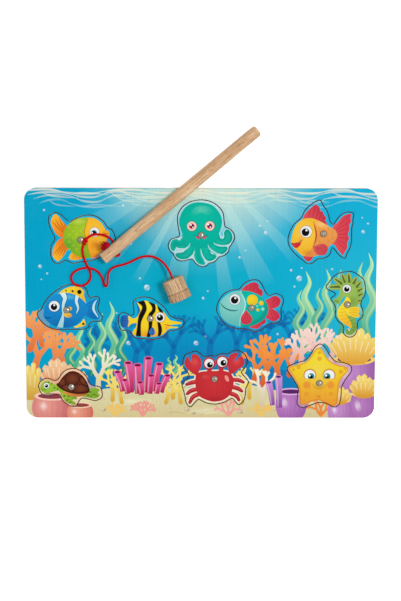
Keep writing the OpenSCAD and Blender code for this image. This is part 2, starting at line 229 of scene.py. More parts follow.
def sweep(bm, line, radius, sides=14, height=1.0):
    """Extrudes a ring along a line of points in metres. Height is a share of the width.

    The UV map counts turns across and millimetres along.
    """
    uv = bm.loops.layers.uv.verify()
    count = len(line)
    along = [(line[min(i + 1, count - 1)] - line[max(i - 1, 0)]).normalized() for i in range(count)]
    side = along[0].cross(Vector((0, 0, 1)))
    side = side.normalized() if side.length > 0.05 else along[0].cross(Vector((1, 0, 0))).normalized()
    ring = bmesh.ops.create_circle(bm, cap_ends=False, segments=sides, radius=MM)["verts"]
    place = {}
    length = 0.0
    first = ring
    for i in range(count):
        if i:
            side = (side - along[i] * side.dot(along[i])).normalized()
            length += (line[i] - line[i - 1]).length / MM
            edges = [
                e for v in ring for e in v.link_edges
                if e.other_vert(v) in place and place[e.other_vert(v)][0] == i - 1
            ]
            made = bmesh.ops.extrude_edge_only(bm, edges=list(set(edges)))["geom"]
            fresh = [g for g in made if isinstance(g, bmesh.types.BMVert)]
            new_ring = [None] * sides
            for v in fresh:
                before = next(e.other_vert(v) for e in v.link_edges if e.other_vert(v) in place)
                new_ring[place[before][1]] = v
            ring = new_ring
        up = along[i].cross(side)
        r = radius(i / (count - 1)) if callable(radius) else radius
        for k, v in enumerate(ring):
            angle = math.tau * k / sides
            away = r * (math.cos(angle) * side + math.sin(angle) * up)
            v.co = line[i] + away * Vector((1, 1, height))
            place[v] = (i, k, length)
    for face in {f for v in place for f in v.link_faces}:
        wraps = any(place[v][1] == sides - 1 for v in face.verts) and any(place[v][1] == 0 for v in face.verts)
        for loop in face.loops:
            k = place[loop.vert][1]
            loop[uv].uv = ((1.0 if wraps and k == 0 else k / sides), place[loop.vert][2])
    for end in (first, ring):
        bm.faces.new(end)
    return bm


# ---------------------------------------------------------------- finishes

def finish_named(name):
    """A new material, its node tree and its shader."""
    material = bpy.data.materials.new(name)
    material.use_nodes = True
    return material, material.node_tree, material.node_tree.nodes["Principled BSDF"]


def fill(tree, node, inputs):
    """Sets a node's inputs to plain values, or links them to the sockets they come from."""
    for key, value in inputs.items():
        if isinstance(value, bpy.types.NodeSocket):
            tree.links.new(value, node.inputs[key])
        else:
            node.inputs[key].default_value = value


def add(tree, kind, inputs=None, **options):
    """Adds a node with its inputs and its other options."""
    node = tree.nodes.new(kind)
    for key, value in options.items():
        setattr(node, key, value)
    fill(tree, node, inputs or {})
    return node


def maths(tree, operation, *values):
    return add(tree, "ShaderNodeMath", dict(enumerate(values)), operation=operation).outputs[0]


def object_coords(tree):
    return add(tree, "ShaderNodeTexCoord").outputs["Object"]


def height_of(tree, vector):
    return add(tree, "ShaderNodeSeparateXYZ", {"Vector": vector}).outputs["Z"]


def facing_up(tree):
    """The Z of the surface's normal: 1 on a level top, 0 on a wall."""
    return height_of(tree, add(tree, "ShaderNodeNewGeometry").outputs["Normal"])


def ramp(tree, fac, *stops):
    """A colour ramp of (position, colour code) stops."""
    node = add(tree, "ShaderNodeValToRGB", {"Fac": fac})
    marks = node.color_ramp.elements
    while len(marks) < len(stops):
        marks.new(0.5)
    for mark, (position, code) in zip(marks, stops):
        mark.position = position
        mark.color = (*linear(code), 1) if isinstance(code, str) else (code, code, code, 1)
    return node.outputs["Color"]


def blend(tree, under, over, fac):
    """Mixes a second colour over the first. It may be a colour code."""
    over = (*linear(over), 1) if isinstance(over, str) else over
    return add(tree, "ShaderNodeMix", {0: fac, 6: under, 7: over}, data_type="RGBA").outputs[2]


def bump(tree, height, strength, distance):
    inputs = {"Height": height, "Strength": strength, "Distance": distance}
    return add(tree, "ShaderNodeBump", inputs).outputs["Normal"]


def spot_noise(tree, vector, scale, detail=3.0, rough=0.55):
    return add(
        tree, "ShaderNodeTexNoise", {"Vector": vector, "Scale": scale, "Detail": detail, "Roughness": rough}
    ).outputs["Fac"]


def lengthwise(tree, at, turn, stretch):
    """Object coordinates in millimetres along a part: X runs with its grain, slowed down by stretch."""
    return add(
        tree, "ShaderNodeMapping",
        {
            "Vector": object_coords(tree), "Location": tuple(c * MM for c in at),
            "Rotation": tuple(math.radians(c) for c in turn), "Scale": (MM * stretch, MM, MM),
        },
        vector_type="TEXTURE",
    ).outputs["Vector"]


def beech(name, at, turn, tone, pale, dark, fleck, fleck_amount, handled):
    """Sanded, unpainted beech: long fibres, soft bands and the short dark flecks of its rays."""
    material, tree, shader = finish_named(name)
    fibre_at = lengthwise(tree, at, turn, 40.0)
    band_at = lengthwise(tree, at, turn, 22.0)
    fleck_at = lengthwise(tree, at, turn, 7.0)
    bands = spot_noise(tree, band_at, 0.42, 4.0, 0.6)
    streaks = spot_noise(tree, fibre_at, 1.0, 3.0, 0.65)
    fibres = spot_noise(tree, fibre_at, 2.8, 4.0, 0.7)
    flecks = spot_noise(tree, fleck_at, 1.4, 2.0, 0.5)
    colour = ramp(tree, bands, (0.36, dark), (0.5, tone), (0.63, pale))
    grime = spot_noise(tree, lengthwise(tree, at, turn, 2.0), 0.16, 3.0, 0.6)
    for over, mask, start, end in (
        (dark, streaks, (0.36, 0.75), (0.5, 0.0)),
        (fleck, fibres, (0.38, 0.55), (0.52, 0.0)),
        (fleck, flecks, (0.6, 0.0), (0.68, fleck_amount)),
        (fleck, grime, (0.5, 0.0), (0.75, handled)),
    ):
        colour = blend(tree, colour, over, ramp(tree, mask, start, end))
    fill(tree, shader, {
        "Base Color": colour, "Roughness": ramp(tree, fibres, (0.3, 0.8), (0.7, 0.66)), "Specular IOR Level": 0.2,
        "Normal": bump(tree, streaks, 0.3, 0.0002),
    })
    return material


def plywood(name, face, grain_turn=0.0):
    """Thin plywood: face veneer with open grain, and its layers showing on the edges."""
    material, tree, shader = finish_named(name)
    coords = object_coords(tree)
    grain = spot_noise(tree, lengthwise(tree, (0, 0, 0), (0, 0, grain_turn), 30.0), 1.4, 5.0, 0.7)
    clouds = spot_noise(tree, coords, 28.0, 3.0, 0.6)
    top = ramp(tree, grain, (0.3, "a9794a"), (0.5, face), (0.72, "dfc08e"))
    top = blend(tree, top, "b48a5a", ramp(tree, clouds, (0.45, 0.0), (0.8, 0.35)))
    veneers = maths(tree, "MULTIPLY", height_of(tree, coords), 1.0 / (VENEER * MM))
    veneers = maths(tree, "ADD", veneers, spot_noise(tree, coords, 160.0, 2.0, 0.5))
    edge_grain = spot_noise(tree, coords, 900.0, 3.0, 0.7)
    edge = ramp(
        tree, maths(tree, "MODULO", veneers, 2.0), (0.0, "d9b886"), (0.46, "e2c594"), (0.5, "ab8153"),
        (0.97, "ba9063"), (1.0, "8f683f"),
    )
    edge = blend(tree, edge, "8a6238", ramp(tree, edge_grain, (0.45, 0.0), (0.7, 0.35)))
    level = ramp(tree, maths(tree, "ABSOLUTE", facing_up(tree)), (0.4, 0.0), (0.7, 1.0))
    fill(
        tree, shader,
        {
            "Base Color": blend(tree, edge, top, level), "Roughness": 0.68,
            "Normal": bump(tree, edge_grain, 0.35, 0.0002),
        },
    )
    return material


def printed(name):
    """Ink under a thin satin varnish, on the painted top of the board."""
    material, tree, shader = finish_named(name)
    coords = object_coords(tree)
    ink = add(tree, "ShaderNodeAttribute", attribute_name="paint").outputs["Color"]
    cloud = spot_noise(tree, coords, 60.0, 4.0, 0.6)
    speck = spot_noise(tree, coords, 1500.0, 2.0, 0.6)
    veneer = spot_noise(tree, lengthwise(tree, (0, 0, 0), (0, 0, 90), 40.0), 0.75, 3.0, 0.6)
    tone = blend(tree, ink, (1, 1, 1, 1), ramp(tree, cloud, (0.5, 0.0), (0.9, 0.008)))
    tone = blend(tree, tone, (0.01, 0.02, 0.04, 1), ramp(tree, veneer, (0.52, 0.0), (0.7, 0.08)))
    tone = blend(tree, tone, (0.02, 0.03, 0.05, 1), ramp(tree, speck, (0.55, 0.0), (0.8, 0.08)))
    relief = maths(tree, "ADD", spot_noise(tree, coords, 420.0, 3.0, 0.6), speck)
    fill(tree, shader, {
        "Base Color": tone, "Roughness": ramp(tree, cloud, (0.3, 0.42), (0.7, 0.52)), "Specular IOR Level": 0.03,
        "Normal": bump(tree, relief, 0.12, 0.0001),
    })
    return material


def braid(name, bright, deep):
    """Round braided cord: small slanting stitches that follow the cord, with painted shade in the grooves between
    them, and loose fluff.
    """
    material, tree, shader = finish_named(name)
    uv = add(tree, "ShaderNodeSeparateXYZ", {"Vector": add(tree, "ShaderNodeTexCoord").outputs["UV"]})
    turns, length = uv.outputs["X"], uv.outputs["Y"]
    waves = []
    for strands in (4.0, -4.0):
        slant = maths(tree, "MULTIPLY", turns, strands)
        phase = maths(tree, "MULTIPLY_ADD", length, 0.75, slant)
        waves.append(maths(tree, "SINE", maths(tree, "MULTIPLY", phase, math.tau)))
    lifted = maths(tree, "MULTIPLY_ADD", maths(tree, "MAXIMUM", *waves), 0.5, 0.5)
    fluff = spot_noise(tree, object_coords(tree), 2600.0, 3.0, 0.7)
    # painted shade: the grooves between stitches take the deep colour and the raised stitches the bright one
    colour = ramp(tree, lifted, (0.3, deep), (0.72, bright))
    colour = blend(tree, colour, "dc1822", ramp(tree, fluff, (0.55, 0.0), (0.75, 0.25)))
    height = maths(tree, "MULTIPLY_ADD", fluff, 0.4, lifted)
    fill(tree, shader, {
        "Base Color": colour, "Roughness": 0.8, "Specular IOR Level": 0.05, "Sheen Weight": 0.03,
        "Sheen Roughness": 0.5, "Sheen Tint": (1.0, 0.45, 0.42, 1), "Normal": bump(tree, height, 0.8, 0.00022),
    })
    return material


def metal(name, tone, worn, roughness, scratch):
    """Plated metal with fine scratches, a dull bloom, and a painted dark reflection that darkens its slopes as they
    turn away from up.
    """
    material, tree, shader = finish_named(name)
    coords = object_coords(tree)
    bloom = spot_noise(tree, coords, 420.0, 4.0, 0.65)
    stretched = add(tree, "ShaderNodeMapping", {"Vector": coords, "Scale": (scratch, 1.0, 1.0)}).outputs["Vector"]
    colour = ramp(tree, bloom, (0.3, worn), (0.62, tone))
    # painted reflection: the colour darkens where the surface turns away from up, standing in for dark surroundings
    # mirrored round a domed head's rim
    colour = blend(tree, colour, "2c251e", ramp(tree, facing_up(tree), (0.45, 0.75), (0.93, 0.0)))
    fill(tree, shader, {
        "Base Color": colour, "Metallic": 1.0,
        "Roughness": ramp(tree, bloom, (0.3, roughness + 0.14), (0.7, roughness)),
        "Normal": bump(tree, spot_noise(tree, stretched, 700.0, 2.0), 0.15, 0.00008),
    })
    return material


# ---------------------------------------------------------------- the print

def eased(p, q, r, s, u):
    """A place between q and r on a smooth line through p, q, r and s."""
    return 0.5 * (2 * q + (r - p) * u + (2 * p - 5 * q + 4 * r - s) * u * u + (3 * q - p - 3 * r + s) * u ** 3)


def curve(numbers, steps=5):
    """A closed smooth outline through points given as x, y, x, y. A point given twice is a corner."""
    points = list(zip(numbers[::2], numbers[1::2]))
    count = len(points)
    line = []
    for i in range(count):
        a, b, c, d = (points[(i + k) % count] for k in (-1, 0, 1, 2))
        if b == c:
            continue
        for k in range(steps):
            line.append(tuple(eased(*four, k / steps) for four in zip(a, b, c, d)))
    return line


def oval(x, y, rx, ry=None, turn=0, sides=26):
    ry = rx if ry is None else ry
    c, s = math.cos(math.radians(turn)), math.sin(math.radians(turn))
    spots = [(rx * math.cos(math.tau * i / sides), ry * math.sin(math.tau * i / sides)) for i in range(sides)]
    return [(x + u * c - v * s, y + u * s + v * c) for u, v in spots]


def ribbon(numbers, steps=5, round_end=True):
    """A band along x, y, width, x, y, width, smooth and with soft ends."""
    marks = [Vector(numbers[i:i + 3]) for i in range(0, len(numbers), 3)]
    marks = [2 * marks[0] - marks[1], *marks, 2 * marks[-1] - marks[-2]]
    line = []
    for i in range(len(marks) - 3):
        for k in range(steps + (i == len(marks) - 4)):
            line.append(eased(*marks[i:i + 4], k / steps))
    left, right = [], []
    for i, mark in enumerate(line):
        run = (line[min(i + 1, len(line) - 1)] - line[max(i - 1, 0)]).xy.normalized()
        side = Vector((-run.y, run.x)) * max(0.12, mark.z / 2)
        left.append(tuple(mark.xy + side))
        right.append(tuple(mark.xy - side))
    if round_end:
        tip, tail = (
            tuple(mark.xy + (mark - back).xy.normalized() * max(0.1, mark.z * 0.45))
            for mark, back in ((line[-1], line[-2]), (line[0], line[1]))
        )
        left, right = [*left, tip], [tail, *right]
    return left + right[::-1]


def ray(x, y, tx, ty, base=0.3, middle=0.6, tip=0.25, bend_x=0.0, bend_y=0.0):
    """The numbers of a ribbon that runs straight from one point to another."""
    return [x, y, base, (x + tx) / 2 + bend_x, (y + ty) / 2 + bend_y, middle, tx, ty, tip]


def resized(numbers, more, times=1):
    """A ribbon's numbers with other widths."""
    return [v * times + more if i % 3 == 2 else v for i, v in enumerate(numbers)]


def flat(code, strength=1.0):
    c = linear(code)
    return lambda x, y: (*c, strength)


def across(first, last, x0, y0, x1, y1, strength=1.0):
    """Colour changing from the first point to the second."""
    a, b = linear(first), linear(last)
    run = (x1 - x0) ** 2 + (y1 - y0) ** 2
    return lambda x, y: (*mixed(a, b, ((x - x0) * (x1 - x0) + (y - y0) * (y1 - y0)) / run), strength)


def rounded(inner, outer, x0, y0, r, strength=1.0):
    """Colour changing outwards from a point."""
    a, b = linear(inner), linear(outer)
    return lambda x, y: (*mixed(a, b, math.hypot(x - x0, y - y0) / r), strength)


def glow(code, x0, y0, r, strength, squash=1.0):
    """A soft spot that fades to nothing."""
    c = linear(code)
    return lambda x, y: (*c, strength * max(0.0, 1 - math.hypot(x - x0, (y - y0) / squash) / r) ** 1.4)


def fade(code, x0, y0, x1, y1, start, end):
    """One colour whose strength changes from the first point to the second."""
    c = linear(code)
    run = (x1 - x0) ** 2 + (y1 - y0) ** 2
    return lambda x, y: (
        *c, mixed((start,), (end,), ((x - x0) * (x1 - x0) + (y - y0) * (y1 - y0)) / run)[0]
    )


class Print:
    """Flat shapes laid over each other, each with its own paint."""

    def __init__(self, under=None):
        self.shapes = list(under.shapes) if under else []

    def lay(self, outline, paint, inside=None):
        """Adds a shape and returns its number. With inside, it shows only within that shape."""
        self.shapes.append((outline, paint, inside))
        return len(self.shapes) - 1

    def patch(self, numbers, paint, inside=None):
        """Lays a smooth outline."""
        return self.lay(curve(numbers), paint, inside)

    def band(self, numbers, code, strength=1.0, inside=None, steps=5):
        """Lays a ribbon of one colour."""
        return self.lay(ribbon(numbers, steps), flat(code, strength), inside)

    def eye(self, x, y, r, pupil_x, pupil_y, pupil, shine_x, shine_y, shine, rim=None, iris=None):
        """A round white eye with a dark pupil and a shine."""
        if rim:
            self.lay(oval(x, y, r + 0.45), flat(rim))
        self.lay(oval(x, y, r), rounded("ffffff", "e6e9ea", x, y, r))
        if iris:
            self.lay(oval(pupil_x, pupil_y, pupil * 1.35), flat(iris))
        self.lay(oval(pupil_x, pupil_y, pupil), flat("0b0a0c"))
        self.lay(oval(shine_x, shine_y, shine, sides=14), flat("f4f6f6"))


def signed_area(points):
    return sum(a[0] * b[1] - b[0] * a[1] for a, b in zip(points, points[1:] + points[:1])) / 2


def grown(points, by):
    """A closed outline moved outwards by a distance, or inwards by a negative one."""
    sign = 1 if signed_area(points) > 0 else -1
    moved = []
    for i, here in enumerate(points):
        before, after = Vector(points[i - 1]), Vector(points[(i + 1) % len(points)])
        a, b = (Vector(here) - before).normalized(), (after - Vector(here)).normalized()
        normal = Vector((a.y + b.y, -a.x - b.x))
        normal = normal.normalized() if normal.length > 1e-6 else Vector((a.y, -a.x))
        reach = by / max(0.6, normal.dot(Vector((a.y, -a.x))))
        moved.append(tuple(Vector(here) + normal * sign * reach))
    return moved


def top_outlines(node):
    """The closed lines round a CAD node's level top, largest first, in millimetres."""
    bm = bmesh.new()
    bm.from_mesh(frame["nodes"][node].data)
    bmesh.ops.remove_doubles(bm, verts=bm.verts, dist=2e-6)
    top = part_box(node)[1].z
    faces = {f for f in bm.faces if abs(f.normal.z) > 0.99 and abs(f.calc_center_median().z - top) < 2e-5}
    rim = {e for e in bm.edges if sum(f in faces for f in e.link_faces) == 1}
    loops = []
    while rim:
        edge = rim.pop()
        start, here = edge.verts
        loop = [start, here]
        while here is not start:
            edge = next(e for e in here.link_edges if e in rim)
            rim.discard(edge)
            here = edge.other_vert(here)
            loop.append(here)
        loops.append([(v.co.x / MM, v.co.y / MM) for v in loop[:-1]])
    bm.free()
    return sorted(loops, key=lambda points: -abs(signed_area(points)))


def extent(points):
    """Left, low, right and high of a line of points."""
    xs, ys = zip(*points)
    return min(xs), min(ys), max(xs), max(ys)


def printed_sheet(name, art, outline, holes, bottom, grid, finish, node):
    """A sawn sheet whose top carries the print over the sea's colour, with eased edges and walls down to bottom.

    The print is cut along its shapes, and between them at points about one grid step apart.
    """
    edge = grown(outline, -EASE)
    left, low, right, high = extent(edge)
    points, rings = [], []

    def ring(loop):
        """Adds a closed line, counterclockwise from its lowest point."""
        loop = loop if signed_area(loop) > 0 else loop[::-1]
        lowest = min(range(len(loop)), key=lambda i: (loop[i][1], loop[i][0]))
        rings.append(list(range(len(points), len(points) + len(loop))))
        points.extend(Vector(p) for p in loop[lowest:] + loop[:lowest])

    ring(edge)
    for hole in holes:
        ring(grown(hole, EASE))
    ground_rings = len(rings)
    used = []
    for number, (shape, paint, inside) in enumerate(art.shapes):
        x0, y0, x1, y1 = extent(shape)
        if x1 >= left and x0 <= right and y1 >= low and y0 <= high and abs(signed_area(shape)) >= 0.02:
            used.append(number)
            ring(shape)
    turn = random.Random(len(points))
    x = left + grid / 2
    while x < right:
        y = low + grid / 2
        while y < high:
            points.append(Vector((x + turn.uniform(-0.2, 0.2) * grid, y + turn.uniform(-0.2, 0.2) * grid)))
            y += grid
        x += grid
    made, _, triangles, _, _, owners = geometry.delaunay_2d_cdt(points, [], rings, 0, 0.004, True)
    bm = bmesh.new()
    layer = bm.loops.layers.float_color.new("paint")
    verts = [bm.verts.new((p.x * MM, p.y * MM, BOARD_T * MM)) for p in made]
    for triangle, owned in zip(triangles, owners):
        owned = set(owned)
        if 0 not in owned or any(g in owned for g in range(1, ground_rings)):
            continue
        shown = {used[r - ground_rings] for r in owned if r >= ground_rings}
        stack = sorted(n for n in shown if art.shapes[n][2] is None or art.shapes[n][2] in shown)
        try:
            face = bm.faces.new([verts[i] for i in triangle])
        except ValueError:
            continue
        for loop in face.loops:
            px, py = loop.vert.co.x / MM, loop.vert.co.y / MM
            colour = sea(px, py)
            for n in stack:
                *over, strength = art.shapes[n][1](px, py)
                colour = mixed(colour, over, strength)
            loop[layer] = (*colour, 1.0)
    bmesh.ops.delete(bm, geom=[v for v in bm.verts if not v.link_faces], context="VERTS")
    bmesh.ops.recalc_face_normals(bm, faces=bm.faces)
    if sum(f.normal.z for f in bm.faces) < 0:
        bmesh.ops.reverse_faces(bm, faces=bm.faces)
    rim = [e for e in bm.edges if e.is_boundary]
    outwards = {}
    for e in rim:
        a, b = e.verts
        run = (b.co - a.co).xy.normalized()
        normal = Vector((run.y, -run.x))
        if normal.dot((e.link_faces[0].calc_center_median() - a.co).xy) > 0:
            normal = -normal
        for v in (a, b):
            outwards.setdefault(v, []).append(normal)
    ways = {}
    for v, normals in outwards.items():
        total = sum(normals, Vector((0, 0)))
        total = total.normalized() if total.length > 1e-6 else normals[0]
        ways[v] = (v.co.copy(), total / max(0.75, min(1.0, total.dot(normals[0]))))
    level = {v: v for v in ways}
    for out, down in ((0.16, 0.06), (EASE, EASE), (EASE, BOARD_T - bottom)):
        made_geom = bmesh.ops.extrude_edge_only(bm, edges=rim)["geom"]
        following = {}
        for v in (g for g in made_geom if isinstance(g, bmesh.types.BMVert)):
            source = next(level[e.other_vert(v)] for e in v.link_edges if e.other_vert(v) in level)
            base, way = ways[source]
            v.co = (base.x + way.x * out * MM, base.y + way.y * out * MM, base.z - down * MM)
            following[v] = source
        rim = [e for e in {e for v in following for e in v.link_edges} if all(v in following for v in e.verts)]
        for f in [f for v in following for f in v.link_faces]:
            tones = (
                l[layer] for v in f.verts if v in level for l in v.link_loops
                if l.face is not f and sum(l[layer][:3]) > 0
            )
            tone = tuple(next(tones, UNPRINTED))
            for l in f.loops:
                l[layer] = tone
            if down > EASE:
                f.material_index = 1
        level = following
    under = bmesh.ops.triangle_fill(bm, use_beauty=False, use_dissolve=False, edges=rim)["geom"]
    for f in (g for g in under if isinstance(g, bmesh.types.BMFace)):
        f.material_index = 1
        if f.normal.z > 0:
            f.normal_flip()
    materials = [finish_once(finish, printed), finish_once("board_edge", plywood, "cfa874", 8.0)]
    piece(name, bm, materials, smooth=50, stands_for=(node,))


def sea(x, y):
    """The water's colour: deep blue low down, turquoise above and right, and a pale glow under the surface."""
    tone = mixed(linear("00a2ca"), linear("14b2da"), (x + 150) / 300)
    tone = mixed(tone, linear("0173b4"), 0.9 * max(0.0, 1 - math.hypot((x - 5) / 140, (y + 62) / 58)) ** 0.8)
    tone = mixed(tone, linear("2fc0cc"), 0.6 * max(0.0, 1 - math.hypot((x - 140) / 70, (y - 5) / 60)))
    tone = mixed(tone, linear("01b0c8"), 0.7 * max(0.0, 1 - math.hypot((x + 5) / 130, (y - 22) / 48)))
    glow_here = max(0.0, 1 - math.hypot((x - 5) / 114, (y - 122) / 99))
    tone = mixed(tone, linear("6fd0dc"), min(1.0, 1.3 * glow_here))
    return mixed(tone, linear("dcebdd"), min(1.0, 1.5 * max(0.0, glow_here - 0.18)))


def light_from_above(art):
    """A fan of rays, a net of ripples under the surface and a few bubbles."""
    turn = random.Random(5)
    for lean, wide, reach, strength in (
        (-61, 11, 100, 0.26), (-44, 8, 104, 0.3), (-29, 5, 106, 0.34), (-13, 11, 112, 0.3),
        (9, 7, 110, 0.32), (25, 11, 108, 0.3), (43, 7, 102, 0.3), (60, 12, 98, 0.22),
    ):
        a, b = (math.radians(270 + lean + side * wide) for side in (-0.5, 0.5))
        sx, sy = 3 + lean * 0.25, 112
        far = [(sx + reach * math.cos(t), sy + reach * math.sin(t)) for t in (a, b)]
        near = [(sx + 15 * math.cos(t), sy + 15 * math.sin(t)) for t in (b, a)]
        art.lay([*far, *near], fade("bfeee6", sx, sy - 14, *far[0], strength * 1.7, 0.0))
    for row, (level, bow, strength) in enumerate(
        ((96.0, 1.8, 0.7), (93.2, 3.0, 0.6), (89.8, 3.4, 0.45), (86.0, 3.2, 0.3)),
    ):
        x, up = -152 + row * 5, 1
        while x < 150:
            long = turn.uniform(24, 42)
            end = x + long
            lift = bow * turn.uniform(0.6, 1.0) * up
            art.band(
                [
                    x, level, 0.3, x + long * 0.3, level + lift * 0.9, 1.7, x + long * 0.7, level + lift,
                    1.8 - row * 0.2, end, level - up * 0.4, 0.3,
                ],
                "f6f3da" if row < 3 else "cfeee6", strength * turn.uniform(0.7, 1.0), steps=4,
            )
            if turn.random() < 0.55:
                art.band(
                    [
                        x + long * 0.3, level + lift * 0.9, 0.3, x + long * 0.55, level - 1.2, 1.5, end + 3,
                        level - 2.8, 0.3,
                    ],
                    "eef3d6", strength * 0.75, steps=4,
                )
            x, up = end - 2, -up
    for x, y, r in (
        (-133, 80, 1.1), (-137, 32, 1.7), (-131, 26, 1.0), (-136, 21, 0.7), (-60, 52, 1.6), (-64.5, 57, 0.9),
        (-58, 60, 0.7), (-46, 14, 2.7), (-52, 22, 1.0), (55, 61, 1.7), (50, 67, 1.1), (56.5, 71, 0.8),
        (84, 22, 2.6), (77, 29, 1.2), (86, 31, 0.8), (80, 15, 1.0), (138, 62, 1.6), (142, 69, 1.0), (137, 74, 0.7),
        (2, 5, 1.3), (6, 11, 0.8), (-72, -8, 0.8), (-35, 78, 0.9), (-39, 72, 0.6), (33, 40, 1.2), (38, 46, 0.8),
        (66, -26, 1.1), (-66, 84, 1.1), (-4, -34, 2.2), (4, -28, 1.1), (-62, -34, 2.0), (-56, -28, 0.9),
        (112, 30, 1.0), (-120, -34, 1.0),
    ):
        art.lay(oval(x, y, r), glow("ffffff", x - r * 0.3, y + r * 0.5, r * 2.0, 0.6))
        art.band(
            [x - r * 0.78, y - r * 0.1, 0.15, x - r * 0.5, y + r * 0.62, r * 0.34, x + r * 0.2, y + r * 0.8, 0.15],
            "f8fefd", 0.9, steps=4,
        )
        art.lay(oval(x + r * 0.38, y - r * 0.4, r * 0.2, sides=10), flat("ffffff", 0.75))


def branching(art, x, y, aim, long, wide, forks, paint, turn, spread=30, swell=1.0):
    """A coral that forks upwards, drawn as tapering bands with rounded tips."""
    bend = math.radians(aim + turn.uniform(-12, 12))
    mx, my = x + long * 0.5 * math.cos(math.radians(aim)), y + long * 0.5 * math.sin(math.radians(aim))
    ex, ey = mx + long * 0.5 * math.cos(bend), my + long * 0.5 * math.sin(bend)
    tip = wide * (0.78 if forks else swell)
    art.lay(ribbon([x, y, wide, mx, my, wide * 0.9, ex, ey, tip], 3), paint)
    if forks:
        for lean in (-1, 1) if turn.random() < 0.7 else (-1.15, 0, 1.15):
            branching(
                art, ex, ey, aim + lean * turn.uniform(0.7, 1.2) * spread, long * turn.uniform(0.68, 0.86),
                wide * 0.74, forks - 1, paint, turn, spread * 0.94, swell,
            )


def blade(art, x, y, tall, sway, wide, dark, pale):
    """A waving leaf of weed, pale on its sunny side."""
    marks = [
        (0.0, 0.0, 0.55), (0.22, 1.0, 1.0), (0.45, -0.7, 1.05), (0.68, 0.8, 0.85), (0.86, -0.2, 0.5),
        (1.0, 0.5, 0.05),
    ]
    art.lay(
        ribbon([c for t, lean, w in marks for c in (x + sway * lean, y + tall * t, wide * w)], 5),
        across(dark, pale, x, y, x, y + tall),
    )
    art.lay(
        ribbon(
            [c for t, lean, w in marks for c in (x + sway * lean + wide * 0.2 * w, y + tall * t, wide * w * 0.3)],
            5,
        ),
        fade("dff5b8", x, y, x, y + tall, 0.12, 0.7),
    )


def fingers(art, x, y, wide, tall, count, low, high, turn, fat=4.4):
    """A cluster of blunt coral fingers that spread like a hand."""
    for back in (1, 0):
        for i in range(count - back):
            lean = ((i + 0.5 * back) / max(1, count - 1) - 0.5) * 2
            reach = tall * (1.0 - 0.32 * lean * lean) * (1.12 if back else 0.86) * turn.uniform(0.9, 1.06)
            tx, ty = x + lean * wide, y + reach
            art.lay(
                ribbon(
                    [
                        x + lean * wide * 0.35, y, fat * 0.9, x + lean * wide * 0.75, y + reach * 0.55, fat * 0.86,
                        tx, ty, fat,
                    ],
                    4,
                ),
                across(low, high, x, y, x, y + tall),
            )
            art.band(
                [x + lean * wide * 0.75 - fat * 0.16, y + reach * 0.5, fat * 0.12, tx - fat * 0.2, ty, fat * 0.2],
                "fff4cf", 0.5, steps=3,
            )


def tube_sponge(art, x, y, tall, wide, lean, low, high, mouth):
    """A soft tube with a round dark mouth."""
    tx, ty = x + lean, y + tall
    art.lay(
        ribbon(
            [x, y, wide * 0.8, x + lean * 0.3, y + tall * 0.45, wide * 0.92, tx, ty, wide * 1.12],
            5, round_end=False,
        ),
        across(low, high, x, y, tx, ty),
    )
    art.band(
        [
            x - wide * 0.22, y + 1, wide * 0.16, x + lean * 0.3 - wide * 0.24, y + tall * 0.45, wide * 0.22,
            tx - wide * 0.3, ty - 1, wide * 0.14,
        ],
        "ffffff", 0.28, steps=4,
    )
    art.lay(oval(tx, ty, wide * 0.56, wide * 0.27), flat(high))
    art.lay(oval(tx, ty, wide * 0.4, wide * 0.17), flat(mouth))


def vase_sponge(art, x, y, wide, tall, low, high, mouth, rim):
    """A wide-mouthed sponge with upright ribs."""
    body = art.patch(
        [
            x - wide * 0.6, y, x - wide * 0.98, y + tall * 0.3, x - wide * 1.02, y + tall * 0.66, x - wide * 0.86,
            y + tall, x - wide * 0.86, y + tall, x + wide * 0.86, y + tall, x + wide * 0.86, y + tall,
            x + wide * 1.02, y + tall * 0.66, x + wide * 0.98, y + tall * 0.3, x + wide * 0.6, y,
        ],
        rounded(high, low, x - wide * 0.35, y + tall * 0.62, max(wide, tall) * 1.1),
    )
    for i in range(-3, 4):
        art.band(
            [
                x + i * wide * 0.16, y, 0.3, x + i * wide * 0.3, y + tall * 0.5, 0.5, x + i * wide * 0.24, y + tall,
                0.35,
            ],
            mouth, 0.22, body, steps=4,
        )
    art.lay(
        oval(x - wide * 0.45, y + tall * 0.6, wide * 0.2, tall * 0.22, 12),
        glow("ffffff", x - wide * 0.45, y + tall * 0.6, tall * 0.24, 0.6), body,
    )
    art.lay(oval(x, y + tall, wide * 0.9, wide * 0.24), flat(rim))
    art.lay(oval(x, y + tall, wide * 0.72, wide * 0.15), flat(mouth))


